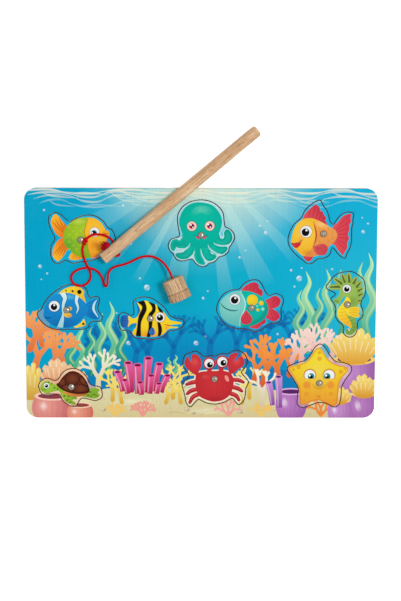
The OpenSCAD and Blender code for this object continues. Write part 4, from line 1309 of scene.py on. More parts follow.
def print_round_fish(art):
    """Faces left: turquoise with spots, red fins and tail."""
    tail = art.patch(
        [55, 3, 58, 4.7, 61, 6.6, 64, 7.1, 67, 5.7, 68.3, 3, 67.6, 0, 65.5, -2.6, 61.3, -4, 61.3, -4, 63, -4.9,
         66, -7, 67.4, -10, 66.6, -12.6, 64, -14.4, 61, -14.5, 58, -13, 55, -11.4, 53, -4],
        rounded("e4505c", "cf2f4a", 56, -4, 12),
    )
    for tx, ty in ((63.5, 5.4), (66.4, 2.6), (65, -1), (65, -7.6), (65.4, -11), (62, -12.8)):
        art.band(
            [58.6, -3.6 + (ty + 4) * 0.25, 0.25, (58.6 + tx) / 2, (ty - 3.6) / 2, 0.7, tx, ty, 0.3],
            "a42a3a", 0.7, tail,
        )
    dorsal = art.patch(
        [34.3, 11, 36, 14, 39, 16.6, 42, 18.1, 45, 18.9, 48, 18.1, 49.5, 16, 49.7, 13.9, 52, 12.4, 52.8, 10.5,
         52.2, 7, 48, 5, 40, 8],
        across("de4454", "c82c46", 38, 10, 48, 18),
    )
    for x, tx, ty in ((38, 39.6, 15.6), (41, 43, 17), (44, 46.4, 17.2), (47, 49.2, 13.6), (49, 51.6, 10.8)):
        art.band(ray(x, 10, tx, ty, 0.3, 0.75, 0.3), "9e2638", 0.65, dorsal)
    belly = art.patch(
        [40, -18, 42, -19, 45, -17.5, 49, -15, 52, -13, 54, -12.6, 55, -12.8, 55.8, -14.5, 55, -16.4, 53, -17.6,
         51.5, -17.8, 51, -19.4, 48.5, -21.1, 45, -21.1, 42.4, -20],
        across("de4454", "c82c46", 44, -18, 53, -17),
    )
    for x, tx, ty in ((44, 45.2, -20.4), (46.6, 48.6, -19.8), (49.6, 51.2, -18), (52, 54, -15.8)):
        art.band(ray(x, -17.4, tx, ty, 0.25), "9e2638", 0.6, belly)
    body = art.patch(
        [16.3, 1, 18, 4, 21, 7, 25, 9.6, 29, 11, 33, 11.5, 40, 11.3, 46, 9.6, 51, 7, 55, 3, 57.5, -2, 57.5, -7,
         55, -12, 51, -15.6, 46, -18, 40, -19.5, 34, -19.6, 31.5, -18.9, 27, -18, 23, -16, 19, -13, 17, -9, 16, -4],
        rounded("04c2b0", "02ab9e", 43, 2, 20),
    )
    art.patch(
        [58, 3, 60, -4, 56, -14, 46, -20, 36, -22, 38, -17, 48, -13, 54, -6, 54.5, 0],
        flat("0a8f7c", 0.55), body,
    )
    art.patch(
        [10, 1, 18, 14, 33, 14, 35, 8, 37, 4, 37.8, 0, 37.5, -3.5, 36, -7, 34.2, -9.6, 33.6, -12, 33.5, -15,
         33, -22, 20, -22, 10, -8],
        rounded("93d9d2", "63bdb9", 27, 3, 19), body,
    )
    art.band(
        [33.4, 11.4, 0.4, 36.6, 5, 1.1, 38, 0, 1.2, 36.6, -6.4, 1.1, 34, -12, 0.9, 33.4, -19, 0.4],
        "b4ebe4", 0.9, body,
    )
    art.band(
        [16.6, 1, 0.3, 18.5, -1.5, 0.8, 21, -3.6, 1.0, 25, -5.3, 1.0, 29, -5.7, 0.9, 32, -5, 0.3],
        "0b6a6e", inside=body,
    )
    for x, y, r, tone, rim in (
        (44, 3.5, 4.7, "fbd826", "ecc021"), (51.6, 0.9, 2, "fbd826", "e6ba20"), (48.8, -5, 1.3, "fbd826", "e6ba20"),
        (53, -4.3, 1.5, "a6ecd8", "6fd0bc"), (48.2, -1.7, 0.9, "a6ecd8", "6fd0bc"),
    ):
        art.lay(oval(x, y, r), rounded(tone, rim, x - r * 0.2, y + r * 0.3, r * 1.3), body)
    fin = art.patch(
        [38.8, -5.3, 36.5, -7.8, 34.7, -10.5, 34, -13.5, 35, -16, 37, -17.4, 39.5, -17.5, 42, -16.6, 43.8, -14.5,
         44, -12, 42.5, -9.5, 40.5, -7],
        rounded("de4656", "cb2f48", 39, -9, 9), body,
    )
    for tx, ty in ((36, -14.6), (38.4, -16.4), (41, -15.8), (42.8, -13)):
        art.band(ray(38.9, -7.4, tx, ty, 0.25), "9e2638", 0.65, fin)
    art.eye(29, 4, 4.7, 28.8, 3.6, 3.2, 29.4, 5.2, 0.95, rim="3f9c9a")


def print_seahorse(art):
    """Faces left: olive, with a frilled crest, yellow belly and back fin."""
    lobes = (
        [122, 15, 4.2, 116.4, 15, 3.6, 110.6, 14.7, 2.6], [122, 16, 4, 118, 19.4, 3.2, 114.6, 21.6, 2.0],
        [124, 17, 4, 122, 21, 3.2, 120.8, 25, 2.2], [126.5, 17, 4.2, 126.6, 21, 3.8, 126, 25.6, 2.6],
        [129, 16, 4.4, 131, 19, 3.6, 132.6, 22.2, 2.4], [131, 13, 4.4, 134, 16, 3.4, 136.2, 18.8, 2.2],
        [131, 10, 4.6, 134.6, 11.6, 3.6, 137.6, 13.4, 2.2], [131, 6, 4.8, 135, 7.6, 3.4, 138, 9, 2.2],
        [131, 2, 5, 134, 2.6, 3.4, 136.4, 3.4, 2.2],
    )
    for lobe in lobes:
        wide = resized(lobe, 1.1)
        art.band(resized(wide, 0.8), "7f9a45", steps=6)
        art.lay(ribbon(wide, 6), across("93ad4c", "a9bf5a", lobe[0], lobe[1], lobe[-3], lobe[-2]))
        art.band(resized(lobe, 0, 0.5), "46602f", 0.9, steps=6)
    tail = [
        123, -3, 9.5, 126.6, -10, 7.2, 130.4, -15, 4.6, 131.4, -20, 3.8, 129, -24.4, 3.0, 125.6, -24.4, 2.3, 125.6,
        -22, 1.3,
    ]
    art.band(resized(tail, 0.9), "7f9a45", steps=7)
    coil = art.lay(ribbon(tail, 7), across("9cbc54", "74a449", 124, -6, 131, -22))
    for i, (x, y, w) in enumerate(
        ((127, -11.5, 5), (129.2, -14, 4), (130.6, -16.8, 3.6), (131, -19.6, 3.2), (130, -22.4, 3)),
    ):
        art.band(
            [x - w / 2, y - 0.6 + i * 0.3, 0.3, x, y, 0.5, x + w / 2, y + 1.4 - i * 0.5, 0.3],
            "5c7d36", 0.8, coil,
        )
    head = art.patch(
        [119, 8.4, 118.9, 13.8, 121.5, 17.7, 125, 18.8, 129.5, 17.8, 132.6, 14.6, 134.2, 10, 134.6, 5, 134.2, 0,
         131.2, -2.6, 128, -5, 123, -5, 121, 0, 123, 4, 123, 7, 120.5, 4.6, 119, 1.2, 117.4, 0, 114.4, 1.6,
         113.2, 4, 116.6, 5.8],
        rounded("a2c45c", "86b04e", 125, 11, 16),
    )
    art.lay(oval(129.5, 3, 5.5, 6, 20), glow("5f7f38", 129.5, 3, 6, 0.5), head)
    front = art.patch(
        [125, 6.4, 122.8, 3, 120.4, 0, 118, -3.5, 116.7, -7, 117.4, -11, 120, -14.6, 123, -17.1, 126, -18.7,
         128.6, -20.8, 129.5, -19, 128.5, -16, 126.5, -12, 124.6, -9, 123.6, -6, 124.6, -3.5, 126.8, -1, 128, 3],
        across("fcdf34", "f2b42c", 119, -3, 127, -17),
    )
    for x, y, tx, ty in (
        (120.6, -1, 127, 1.4), (118.6, -3.8, 124.4, -3.6), (117.4, -6.8, 123.6, -6.4), (117.8, -10, 124.4, -9),
        (119.6, -13, 126, -11.6), (122.4, -15.8, 127.6, -14.4),
    ):
        art.band(ray(x, y, tx, ty, 0.25, bend_y=-0.5), "d0962a", 0.55, front)
    fin = art.patch(
        [124, -4.5, 128, -2.8, 131, -2.2, 134.5, -2.2, 136, -3.5, 135.3, -5, 136, -6.5, 135, -8, 136, -10,
         134.5, -11.4, 131.5, -11.3, 128.5, -10.2, 125.4, -9],
        across("fbe03a", "f6c42e", 125, -5, 136, -7),
    )
    for y, ty in ((-4.6, -3.4), (-5.8, -5.4), (-7, -7.4), (-8.2, -9.8)):
        art.band([126, y, 0.25, 130, (y + ty) / 2, 0.7, 134.6, ty, 0.3], "c98a24", 0.6, fin)
    art.band([114.2, 2.9, 0.3, 116.2, 2.6, 0.7, 117.8, 1.9, 0.3], "4d6a35", inside=head)
    art.eye(124.7, 13.3, 3.6, 124.6, 13, 2.3, 125.1, 14.3, 0.75, rim="5c7d36")


def print_turtle(art):
    """Faces left: brown shell, green flippers."""
    art.patch(
        [-140, -74, -130, -64, -122, -64, -112, -56, -102, -59, -94, -70, -86, -74, -86, -82, -100, -83, -106, -89,
         -116, -88, -124, -78],
        flat("f0b49a", 0.4),
    )
    skin = across("a9cc40", "80ad33", -120, -68, -110, -86)
    rear = art.patch(
        [-104, -75, -96, -73.3, -92, -72.9, -88.5, -73.4, -87, -75, -88.5, -76.5, -88, -78, -87, -79.5, -89, -81.6,
         -93, -82.2, -97, -81.2, -102, -80],
        skin,
    )
    flipper = art.patch(
        [-121.6, -74, -120, -79, -118.5, -82, -116, -85.2, -112, -87, -108.4, -87.6, -108, -85.5, -110.5, -84,
         -109.5, -83, -106.3, -82.6, -107, -81, -106, -77, -112, -73],
        skin,
    )
    art.lay(oval(-108, -80, 4.4, 3), glow("5f8026", -108, -80, 5, 0.8), flipper)
    head = art.patch(
        [-138.2, -73.6, -137.2, -70, -134.5, -67.2, -131.5, -66.6, -128.5, -68.2, -125, -70, -120, -69, -118, -77,
         -121.5, -75.9, -124, -75.4, -128, -76.6, -132, -77.7, -136, -76.6],
        rounded("a8cf42", "86b637", -131, -70, 10),
    )
    for x, y, rx, ry, part in (
        (-133.7, -68.4, 0.9, 0.6, head), (-131, -67.9, 0.9, 0.6, head), (-128.4, -69.4, 0.9, 0.7, head),
        (-126, -72.8, 1.0, 0.8, head), (-123.4, -73.8, 0.8, 0.7, head), (-115, -83.5, 1.2, 0.8, flipper),
        (-112.5, -85.5, 1.0, 0.7, flipper), (-117.4, -80, 1.1, 0.9, flipper), (-113.6, -80, 1.2, 0.9, flipper),
        (-97, -79.6, 1.2, 0.8, rear), (-94.5, -80, 0.9, 0.7, rear), (-92, -78.6, 1.2, 0.8, rear),
        (-90, -79.6, 0.9, 0.6, rear), (-95, -76.6, 1.1, 0.7, rear),
    ):
        art.lay(oval(x, y, rx, ry, 15, sides=14), flat("54731f", 0.85), part)
    art.lay(
        ribbon([-119, -76.5, 1.0, -112, -78.6, 2.6, -104, -79.2, 2.4, -97.4, -77.6, 1.0]),
        across("d98a45", "b8642e", -116, -77, -100, -79),
    )
    shell = art.patch(
        [-124.2, -69.5, -122, -68, -120, -65, -117, -61.5, -113.5, -59, -110, -58.2, -106, -59.2, -102, -62,
         -99, -66, -97, -70, -95.6, -75.5, -97, -77.2, -101, -78, -106, -78.3, -111, -77.7, -116, -76.2,
         -120, -74.2, -123, -71.8],
        rounded("78341c", "4a1a12", -110, -63, 17),
    )
    for plate in (
        [-115.5, -62.5, -110, -60, -105.5, -62.2, -105, -67.5, -110.3, -70, -115.8, -68],
        [-117.4, -64.5, -117.2, -70, -121.6, -70.2, -121.4, -68],
        [-103.6, -63, -103, -68.4, -98, -70.6, -99.8, -66.2],
        [-116.6, -70.4, -111, -71.6, -110.4, -76.2, -116, -74.8, -119.6, -72.6],
        [-109.4, -71.4, -103.4, -70, -97.6, -72.4, -97.6, -75.6, -103, -76.6, -109, -76.5],
    ):
        px, py = sum(plate[::2]) / (len(plate) // 2), sum(plate[1::2]) / (len(plate) // 2)
        art.lay(grown(curve(plate), 0.35), flat("2c0f0a", 0.85), shell)
        art.lay(grown(curve(plate), -0.1), rounded("743a26", "5c2a1a", px, py + 0.8, 6), shell)
        art.patch(
            [v + (c - v) * 0.45 for v, c in zip(plate, [px, py] * (len(plate) // 2))],
            flat("95502f", 0.12), shell,
        )
    art.band(
        [-124, -70, 0.5, -119.6, -65.2, 0.9, -113.5, -59.6, 1.0, -106, -59.8, 1.0, -99.6, -66, 0.9,
         -96.2, -75, 0.5],
        "2a0a08", 0.75, shell,
    )
    art.band([-137.6, -73.8, 0.25, -135.2, -74.7, 0.6, -132.6, -74.4, 0.25], "4f6a1c", inside=head)
    art.eye(-132.8, -71, 2.5, -132.8, -71.2, 1.55, -133.3, -70.5, 0.5, rim="6f8a2a")


def print_crab(art):
    """Red, with raised claws and tall eyes."""
    halo, red = flat("efe6cc"), "c92f36"
    legs = (
        [-2, -67, 3.6, -8.4, -68.4, 3.8, -12.6, -70, 2.6], [-2, -73.6, 3.6, -8.4, -75.4, 3.8, -11.9, -78.3, 2.6],
        [0, -77.6, 3.8, -6.4, -80.6, 3.8, -9.6, -86, 2.6], [25, -65.6, 3.6, 32.4, -66, 3.6, 37.1, -68, 2.6],
        [25, -71.6, 3.6, 31.8, -73.2, 3.8, 35.8, -75.9, 2.6], [24, -77, 3.8, 30.4, -79.6, 3.8, 33.2, -83.8, 2.6],
    )
    shapes = {
        "body": [
            -4.2, -62, -4.6, -68, -4, -74, -1.5, -79.6, 3, -82.6, 9, -84.6, 13, -84.8, 19, -83.6, 24, -80.2, 26.7,
            -76, 28.2, -70, 28, -64, 25, -59.5, 19, -57.8, 12, -58, 5, -58.2, -1, -59,
        ],
        "left": [
            -12, -46, -10.8, -45, -10, -47.5, -8.7, -49.5, -7.8, -51.3, -7.8, -51.3, -8.2, -47, -7.5, -44, -5,
            -43.4, -2, -45, 0, -48, 0.5, -51.5, 0, -55, -1.5, -58, -3, -62, -6, -60.7, -9.5, -58, -12.5, -55, -13.9,
            -52, -13.6, -49,
        ],
        "right": [
            24, -46, 26, -43.5, 29.5, -42.2, 32.5, -42.4, 32.5, -42.4, 30.5, -46.5, 29.2, -48.5, 29.3, -50.5, 29.3,
            -50.5, 31.5, -47.5, 34, -45.2, 36, -46, 37.4, -49, 37.1, -52.5, 35, -55, 32, -56.6, 28, -60, 24.6, -60,
            23.4, -54, 23.2, -50,
        ],
    }
    for leg in legs:
        art.lay(ribbon(resized(leg, 2.4)), halo)
    art.lay(grown(curve(shapes["body"]), 1.1), halo)
    for leg in legs:
        limb = art.lay(ribbon(leg), across(red, "a51f2b", leg[0], leg[1], leg[6], leg[7]))
        art.band(
            [leg[0], leg[1] + 0.6, 0.3, leg[3], leg[4] + 0.7, 0.7, leg[6], leg[7] + 0.4, 0.2],
            "ee6a62", 0.7, limb,
        )
        art.band(
            [leg[3] - 0.3, leg[4] - 1.6, 0.3, leg[3], leg[4], 0.4, leg[3] + 0.3, leg[4] + 1.6, 0.3],
            "7c1420", 0.7, limb,
        )
    for name in ("left", "right"):
        x, y = (-6, -50) if name == "left" else (30, -49)
        claw = art.patch(shapes[name], rounded("d43a40", "c02b35", x, y, 12))
        art.lay(oval(x + 1, y - 1, 3, 5, 15), glow("f0766c", x + 1, y, 5, 0.35), claw)
    for x, y in ((7.5, -57), (17.5, -56)):
        art.band([x, y - 3, 4.6, x, y, 4.0, x + 0.2, y + 4, 4.4], red)
    body = art.patch(shapes["body"], rounded("cf343a", "bd2931", 12, -67, 21))
    art.lay(oval(12, -79, 13, 5), glow("8a1422", 12, -84, 15, 0.4, 0.4), body)
    art.lay(oval(22.5, -64.5, 1.5, 3, 25), flat("f3a49a", 0.85), body)
    art.lay(oval(4, -63, 4.5, 2.4, 20), glow("ee6a66", 4, -63, 5, 0.35, 0.6), body)
    for x, y, r, px, py, pr, sx, sy in (
        (7.2, -51.5, 4.1, 7.8, -52.7, 2.5, 8.6, -51.7), (18.5, -50.1, 4.3, 19.5, -51, 2.6, 20.4, -50.2),
    ):
        art.lay(oval(x, y, r + 1.3), rounded("d63034", "a81a26", x - 1, y + 1.5, r + 2))
        art.eye(x, y, r, px, py, pr, sx, sy, 0.8)


def print_starfish(art):
    """Five blunt arms, yellow above and orange below."""
    outline = [
        76.3, -57, 77.5, -54, 84, -52, 90, -50, 94, -46, 97, -41, 100, -38, 103, -38, 106, -42, 109, -47, 114, -51,
        120, -53, 126, -54.5, 127, -57.4, 124.6, -61, 121, -65, 119.4, -70, 119, -75, 118.4, -83, 117, -87.6, 114,
        -88.7, 109, -86.7, 104, -84.4, 101, -83.7, 96, -84.7, 92, -86.7, 88, -87.7, 85.8, -86, 85.3, -78, 84, -71,
        80, -64,
    ]
    body = art.patch(outline, across("f2d828", "eb9e34", 101, -50, 101, -86))
    art.patch(outline, glow("f7e668", 101, -58, 18, 0.5), body)
    for x, y, r in (
        (102.1, -41.9, 1.4), (102.2, -47.3, 1.9), (79.7, -56.8, 1.3), (84.2, -54.7, 1.8), (120.6, -58.6, 1.8),
        (124.4, -56, 1.3), (91.2, -78, 1.9), (112.2, -78, 1.9), (88.6, -83.4, 1.2), (115, -83.6, 1.2),
        (102.5, -81, 1.2),
    ):
        art.lay(oval(x, y, r), rounded("e8932c", "e59a30", x, y, r, 0.75), body)
    smooth = curve(outline)
    rim = smooth + [smooth[0]] + [grown(smooth, -1.3)[0]] + grown(smooth, -1.3)[:0:-1]
    art.lay(rim, flat("d9822c", 0.55), body)
    for x, ix, px, sx in ((94, 95, 95, 93.8), (110.5, 109, 109, 108)):
        dome = oval(x, -61.7, 4.7, sides=36)
        art.lay([(a, max(b, -64.8)) for a, b in oval(x, -61.5, 5.5, sides=36)], flat("b86a26", 0.85))
        white = art.lay([(a, max(b, -64.6)) for a, b in dome], rounded("ffffff", "e8ecea", x, -61, 5))
        art.lay(oval(ix, -62.7, 2.9), rounded("16606a", "2c9aa0", ix, -63, 3), white)
        art.lay(oval(px, -63.2, 1.55), flat("0a0c10"), white)
        art.lay(oval(sx, -61.9, 0.9, sides=14), flat("ffffff"), white)
    art.band(
        [95.6, -68.6, 0.3, 98.4, -72, 1.1, 102, -73.4, 1.3, 105.6, -72.2, 1.1, 108.4, -69.2, 0.3],
        "c9702a", 0.5, body,
    )
    for x in (91.5, 112):
        art.lay(oval(x, -70.2, 3.4), rounded("e67a34", "ec9236", x, -70.2, 3.4, 0.7), body)
    art.band([99.6, -79.4, 0.3, 101.5, -80.1, 0.7, 103.4, -79.4, 0.3], "c26a2a", 0.8, body)


CREATURES = {
    "green_fish": print_green_fish, "octopus": print_octopus, "goldfish": print_goldfish,
    "blue_fish": print_blue_fish, "striped_fish": print_striped_fish, "round_fish": print_round_fish,
    "seahorse": print_seahorse, "turtle": print_turtle, "crab": print_crab, "starfish": print_starfish,
}


# ---------------------------------------------------------------- settings

class FishingGameSizes(bpy.types.PropertyGroup):
    """Sizes of the toy's pieces that can be changed."""

    rod_diameter: FloatProperty(
        name="Rod diameter", description="Thickness of the rod", default=0.010, min=0.006, max=0.012, unit="LENGTH",
        subtype="DISTANCE",
    )
    rod_length: FloatProperty(
        name="Rod length", description="Length of the rod", default=0.170, min=0.1, max=0.2, unit="LENGTH",
        subtype="DISTANCE",
    )
    cord_diameter: FloatProperty(
        name="Cord diameter", description="Thickness of the red cord", default=2 * CORD_R * MM, min=0.001,
        max=0.002, unit="LENGTH", subtype="DISTANCE",
    )
    holder_diameter: FloatProperty(
        name="Holder diameter", description="Width of the magnet holder's long part", default=0.0184, min=0.014,
        max=0.0184, unit="LENGTH", subtype="DISTANCE",
    )
    cap_diameter: FloatProperty(
        name="Cap diameter", description="Width of the magnet holder's cap", default=0.019, min=0.014, max=0.019,
        unit="LENGTH", subtype="DISTANCE",
    )
    screw_head: FloatProperty(
        name="Screw head", description="Width of a screw's head", default=0.0058, min=0.004, max=0.0058,
        unit="LENGTH", subtype="DISTANCE",
    )


class FishingGameColours(bpy.types.PropertyGroup):
    """Colours of the toy that can be changed."""

    cord: FloatVectorProperty(
        name="Cord", description="Colour of the red cord", subtype="COLOR", size=3, min=0, max=1,
        default=linear("dc0c1a"),
    )
    floor: FloatVectorProperty(
        name="Floor", description="Colour of the floor", subtype="COLOR", size=3, min=0, max=1,
        default=(0.93, 0.93, 0.93),
    )


def settings():
    return bpy.context.scene.fishing_game_sizes, bpy.context.scene.fishing_game_colours


def code_of(colour):
    """Linear red, green and blue written as six hex digits."""
    return "".join(
        "%02x" % round(255 * (12.92 * c if c <= 0.0031308 else 1.055 * c ** (1 / 2.4) - 0.055))
        for c in colour
    )


def finish_once(name, make, *args, **kwargs):
    """The finish of that name, made the first time it is asked for."""
    return bpy.data.materials.get(name + "_finish") or make(name + "_finish", *args, **kwargs)


def cord_finish():
    return finish_once("red_braid", braid, code_of(settings()[1].cord), "a00818")


# ---------------------------------------------------------------- the pieces

class FISHING_OT_camera(bpy.types.Operator):
    """Stand the camera above the board, a little below its middle"""

    bl_idname = "fishing_game.camera"
    bl_label = "Camera"

    def execute(self, context):
        data = bpy.data.cameras.new("camera")
        data.lens = 85
        data.sensor_width = 36
        data.clip_start, data.clip_end = 0.05, 20
        camera = bpy.data.objects.new("camera", data)
        camera.location = (-0.0100, 0.15422, 1.21176)
        camera.rotation_euler = (-0.12491, -0.00772, 0.00227)
        context.scene.collection.objects.link(camera)
        context.scene.camera = camera
        return {"FINISHED"}


class FISHING_OT_cord(bpy.types.Operator):
    """Lay the red cord from the rod to the magnet holder, with the small knot on the way"""

    bl_idname = "fishing_game.cord"
    bl_label = "Cord"

    def execute(self, context):
        radius = settings()[0].cord_diameter / 2
        rest = BOARD_T + CORD_R + CORD_GAP
        line = [Vector((p.x, p.y, rest + max(0.0, p.z))) * MM for p in spline(CORD_ROUTE, 8)]
        bm = sweep(bmesh.new(), line, radius * CORD_SPREAD, 16, 1 / CORD_SPREAD)
        bmesh.ops.recalc_face_normals(bm, faces=bm.faces)
        cord = piece("cord_line", bm, [cord_finish()], smooth=60, stands_for=("cord",))
        # a half hitch pulled tight round the cord, flattened on the board
        middle = min(range(len(line)), key=lambda i: (line[i].xy - Vector(HITCH_AT) * MM).length)
        up = Vector((0, 0, 1))
        knot = bmesh.new()
        for start, turns, wide, shift in ((-3, 1.4, 1.3, 0), (-1, 1.3, 1.5, 2.2)):
            loop = []
            for k in range(HITCH_STEPS + 1):
                share = k / HITCH_STEPS
                at = middle + start + round(2 * share)
                run = (line[at + 1] - line[at - 1]).normalized()
                side, angle = run.cross(up).normalized(), shift + math.tau * turns * share
                spot = line[at] + (side * math.cos(angle) * wide + up * math.sin(angle) * wide) * MM
                spot += run * (share - 0.5) * 1.2 * MM
                spot.z = max(spot.z, rest * MM)
                loop.append(spot)
            sweep(knot, loop, radius, 12)
        bmesh.ops.recalc_face_normals(knot, faces=knot.faces)
        hitch = piece("cord_knot", knot, [cord_finish()], smooth=60)
        return {"FINISHED"}


def stopper(seat, tail, girth, frayed):
    """A stopper knot's line round the cord's end, in metres: up the middle, twice round, and out as a tail.

    The strands of a frayed end stand out all round it, clear of the rod.
    """
    spots = [(0, 0, -0.6), (0, 0, 0.9), (0.35, 0.1, 2.2), (1.0, -0.3, 3.1)]
    for k in range(19):
        angle = -0.3 + math.tau * 2.1 * k / 18
        spots.append((girth * math.cos(angle), girth * math.sin(angle), 3.0 - 1.7 * k / 18))
    spots += [(1.1, 1.4, 1.7), (0.3, 1.7, 2.3), (0.0, 2.2, 2.6)]
    end = Vector(spots[-1])
    lean = Vector((0.05, math.sin(math.radians(65)), math.cos(math.radians(65))))
    spots += [tuple(end + lean * tail * t) for t in (0.35, 0.7, 1.0)]
    line = [seat @ (Vector(p) * MM) for p in spline(spots, 4)]
    strands = []
    turn = random.Random(3)
    heart, spread = Vector((0, 1.1, 2.9)), Vector((3.2, 4.6, 3.6))
    for _ in range(frayed):
        away = Vector([turn.gauss(0, 1) for _ in range(3)]).normalized() * turn.uniform(0.72, 1.02)
        bend = Vector([turn.uniform(-0.3, 0.3) for _ in range(3)])
        strand = []
        for t in (0.25, 0.45, 0.65, 0.85, 1):
            spot = heart + (away * t + bend * t * t) * spread
            spot.z = max(spot.z, 0.9)
            strand.append(seat @ (spot * MM))
        strands.append(strand)
    return line, strands


class FISHING_OT_knots(bpy.types.Operator):
    """Tie the stopper knots at the rod and inside the magnet holder"""

    bl_idname = "fishing_game.knots"
    bl_label = "Knots"

    def execute(self, context):
        radius = settings()[0].cord_diameter / 2
        rod_seat = placed(ROD_AT, ROD_TURN) @ Matrix.Translation(
            (0, 4.4 * MM, ROD_HOLE * MM),
        ) @ Matrix.Rotation(math.radians(-90), 4, "X")
        holder_seat = placed(HOLDER_AT, HOLDER_TURN) @ Matrix.Translation((0, 0, HOLDER_RECESS * MM))
        knot_red = finish_once("knot_braid", braid, "d20e24", "8c0818")
        for name, seat, tail, girth, frayed in (
            ("rod_stopper", rod_seat, 1.3, 1.85, 150), ("holder_stopper", holder_seat, 1.2, 1.42, 0),
        ):
            line, strands = stopper(seat, tail, girth, frayed)
            bm = sweep(bmesh.new(), line, radius, 14)
            for strand in strands:
                sweep(bm, strand, lambda t: 0.42 * MM * (1.15 - 0.5 * t), 5)
            bmesh.ops.recalc_face_normals(bm, faces=bm.faces)
            piece(
                name, bm, [knot_red], smooth=60, stands_for=("rod_knot" if frayed else "holder_knot",),
            )
        return {"FINISHED"}


class FISHING_OT_base_board(bpy.types.Operator):
    """Give the base board its plywood"""

    bl_idname = "fishing_game.base_board"
    bl_label = "Base board"

    def execute(self, context):
        mesh = frame["nodes"]["base_board"].data
        mesh.materials.clear()
        mesh.materials.append(finish_once("backing_plywood", plywood, "cfa874"))
        return {"FINISHED"}


def reef_print():
    """The picture of the sea that runs over the board and all its creatures."""
    art = Print()
    light_from_above(art)
    sea_bed(art)
    return art


def smooth_outlines(node):
    return [curve([c for p in loop for c in p], 3) for loop in top_outlines(node)]


class FISHING_OT_top_board(bpy.types.Operator):
    """Saw and print the top board with its ten openings"""

    bl_idname = "fishing_game.top_board"
    bl_label = "Top board"

    def execute(self, context):
        outer = top_outlines("top_board")[0]
        openings = smooth_outlines("top_board")[1:]
        if len(openings) != len(CREATURES):
            raise RuntimeError("the top board has %d openings" % len(openings))
        printed_sheet(
            "printed_board", reef_print(), outer, openings, BASE_T, 2.2, "board_print",
            "top_board",
        )
        return {"FINISHED"}


class FISHING_OT_creatures(bpy.types.Operator):
    """Saw and print the ten loose sea creatures"""

    bl_idname = "fishing_game.creatures"
    bl_label = "Creatures"

    def execute(self, context):
        background = reef_print()
        for name, paint_on in CREATURES.items():
            art = Print(background)
            (left, low), (right, high) = ((corner.x / MM, corner.y / MM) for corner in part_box(name))
            margin = flat("f7ead2", 0.2) if name in ("turtle", "starfish") else flat("0fc0ec", 0.3)
            if name != "crab":
                art.lay([(left, low), (right, low), (right, high), (left, high)], margin)
            paint_on(art)
            printed_sheet(
                "cut_" + name, art, smooth_outlines(name)[0], [], BASE_T + 0.02, 1.5, "creature_print",
                name,
            )
        return {"FINISHED"}


class FISHING_OT_screws(bpy.types.Operator):
    """Turn one cross-head screw and set it in each creature"""

    bl_idname = "fishing_game.screws"
    bl_label = "Screws"

    def execute(self, context):
        r = settings()[0].screw_head / 2 / MM
        ball = (r * r + 1.4 ** 2) / 2.8
        dome = [
            (ball * math.sin(a), 1.9 - ball + ball * math.cos(a))
            for a in (math.asin(r * 0.96 / ball) * i / 7 for i in range(8))
        ]
        profile = [*dome, (r, 0.42), (r, 0.12), (r - 0.12, 0.0), (1.4, 0.0), (1.4, -3.6), (1.2, -3.8), (0, -3.8)]
        steel = finish_once("screw_steel", metal, "ded4c6", "a2978a", 0.2, 5.0)
        head = piece("screw_set", turned(profile, 40), [steel], smooth=35, stands_for=("screws",))
        cutter = bmesh.new()
        for turn in (0, 90):
            arm = bmesh.ops.create_cube(cutter, size=1.0)["verts"]
            bmesh.ops.scale(cutter, vec=(3.3 * MM, 0.78 * MM, 2.0 * MM), verts=arm)
            for v in arm:
                if v.co.z < 0:
                    v.co.x *= 0.42
            bmesh.ops.translate(cutter, vec=(0, 0, 1.85 * MM), verts=arm)
            rotate(cutter, arm, turn)
        cut_out(head, cutter)
        one = bmesh.new()
        one.from_mesh(head.data)
        every = bmesh.new()
        for x, y, turn in SCREWS:
            copy = one.copy()
            rotate(copy, copy.verts, turn)
            bmesh.ops.translate(copy, vec=(x * MM, y * MM, (BOARD_T + 0.01) * MM), verts=copy.verts)
            mesh = bpy.data.meshes.new("one_screw")
            copy.to_mesh(mesh)
            copy.free()
            every.from_mesh(mesh)
            bpy.data.meshes.remove(mesh)
        every.to_mesh(head.data)
        every.free()
        one.free()
        head.data.set_sharp_from_angle(angle=math.radians(35))
        return {"FINISHED"}


class FISHING_OT_rod(bpy.types.Operator):
    """Turn the beech rod and drill the hole for its cord"""

    bl_idname = "fishing_game.rod"
    bl_label = "Rod"

    def execute(self, context):
        sizes = settings()[0]
        r, long = sizes.rod_diameter / 2 / MM, sizes.rod_length / MM
        rings = [(r, z) for z in (20, 40, 60, 80, 100, 120, 140)]
        bm = turned(
            [(0, 0), *arc(r - 0.8, 0.8, 0.8, -90, 0), *rings, *arc(r - 2.3, long - 2.3, 2.3, 0, 90, 9), (0, long)],
            64,
        )
        wood = finish_once("rod_beech", beech, ROD_AT, ROD_TURN, "e4bd94", "efd2ae", "cea57c", "94663e", 0.65, 0.1)
        rod = piece("turned_rod", bm, [wood], smooth=40, stands_for=("rod",))
        drill = turned(
            [(0, -7), (2.9, -7), (2.75, -r), (1.5, -r + 1.2), (1.5, r - 1.2), (2.75, r), (2.9, 7), (0, 7)],
            32,
        )
        rotate(drill, drill.verts, 90, "X")
        bmesh.ops.translate(drill, vec=(0, 0, ROD_HOLE * MM), verts=drill.verts)
        cut_out(rod, drill)
        rod.data.transform(placed(ROD_AT, ROD_TURN))
        smoothed(rod.data, 40)
        return {"FINISHED"}


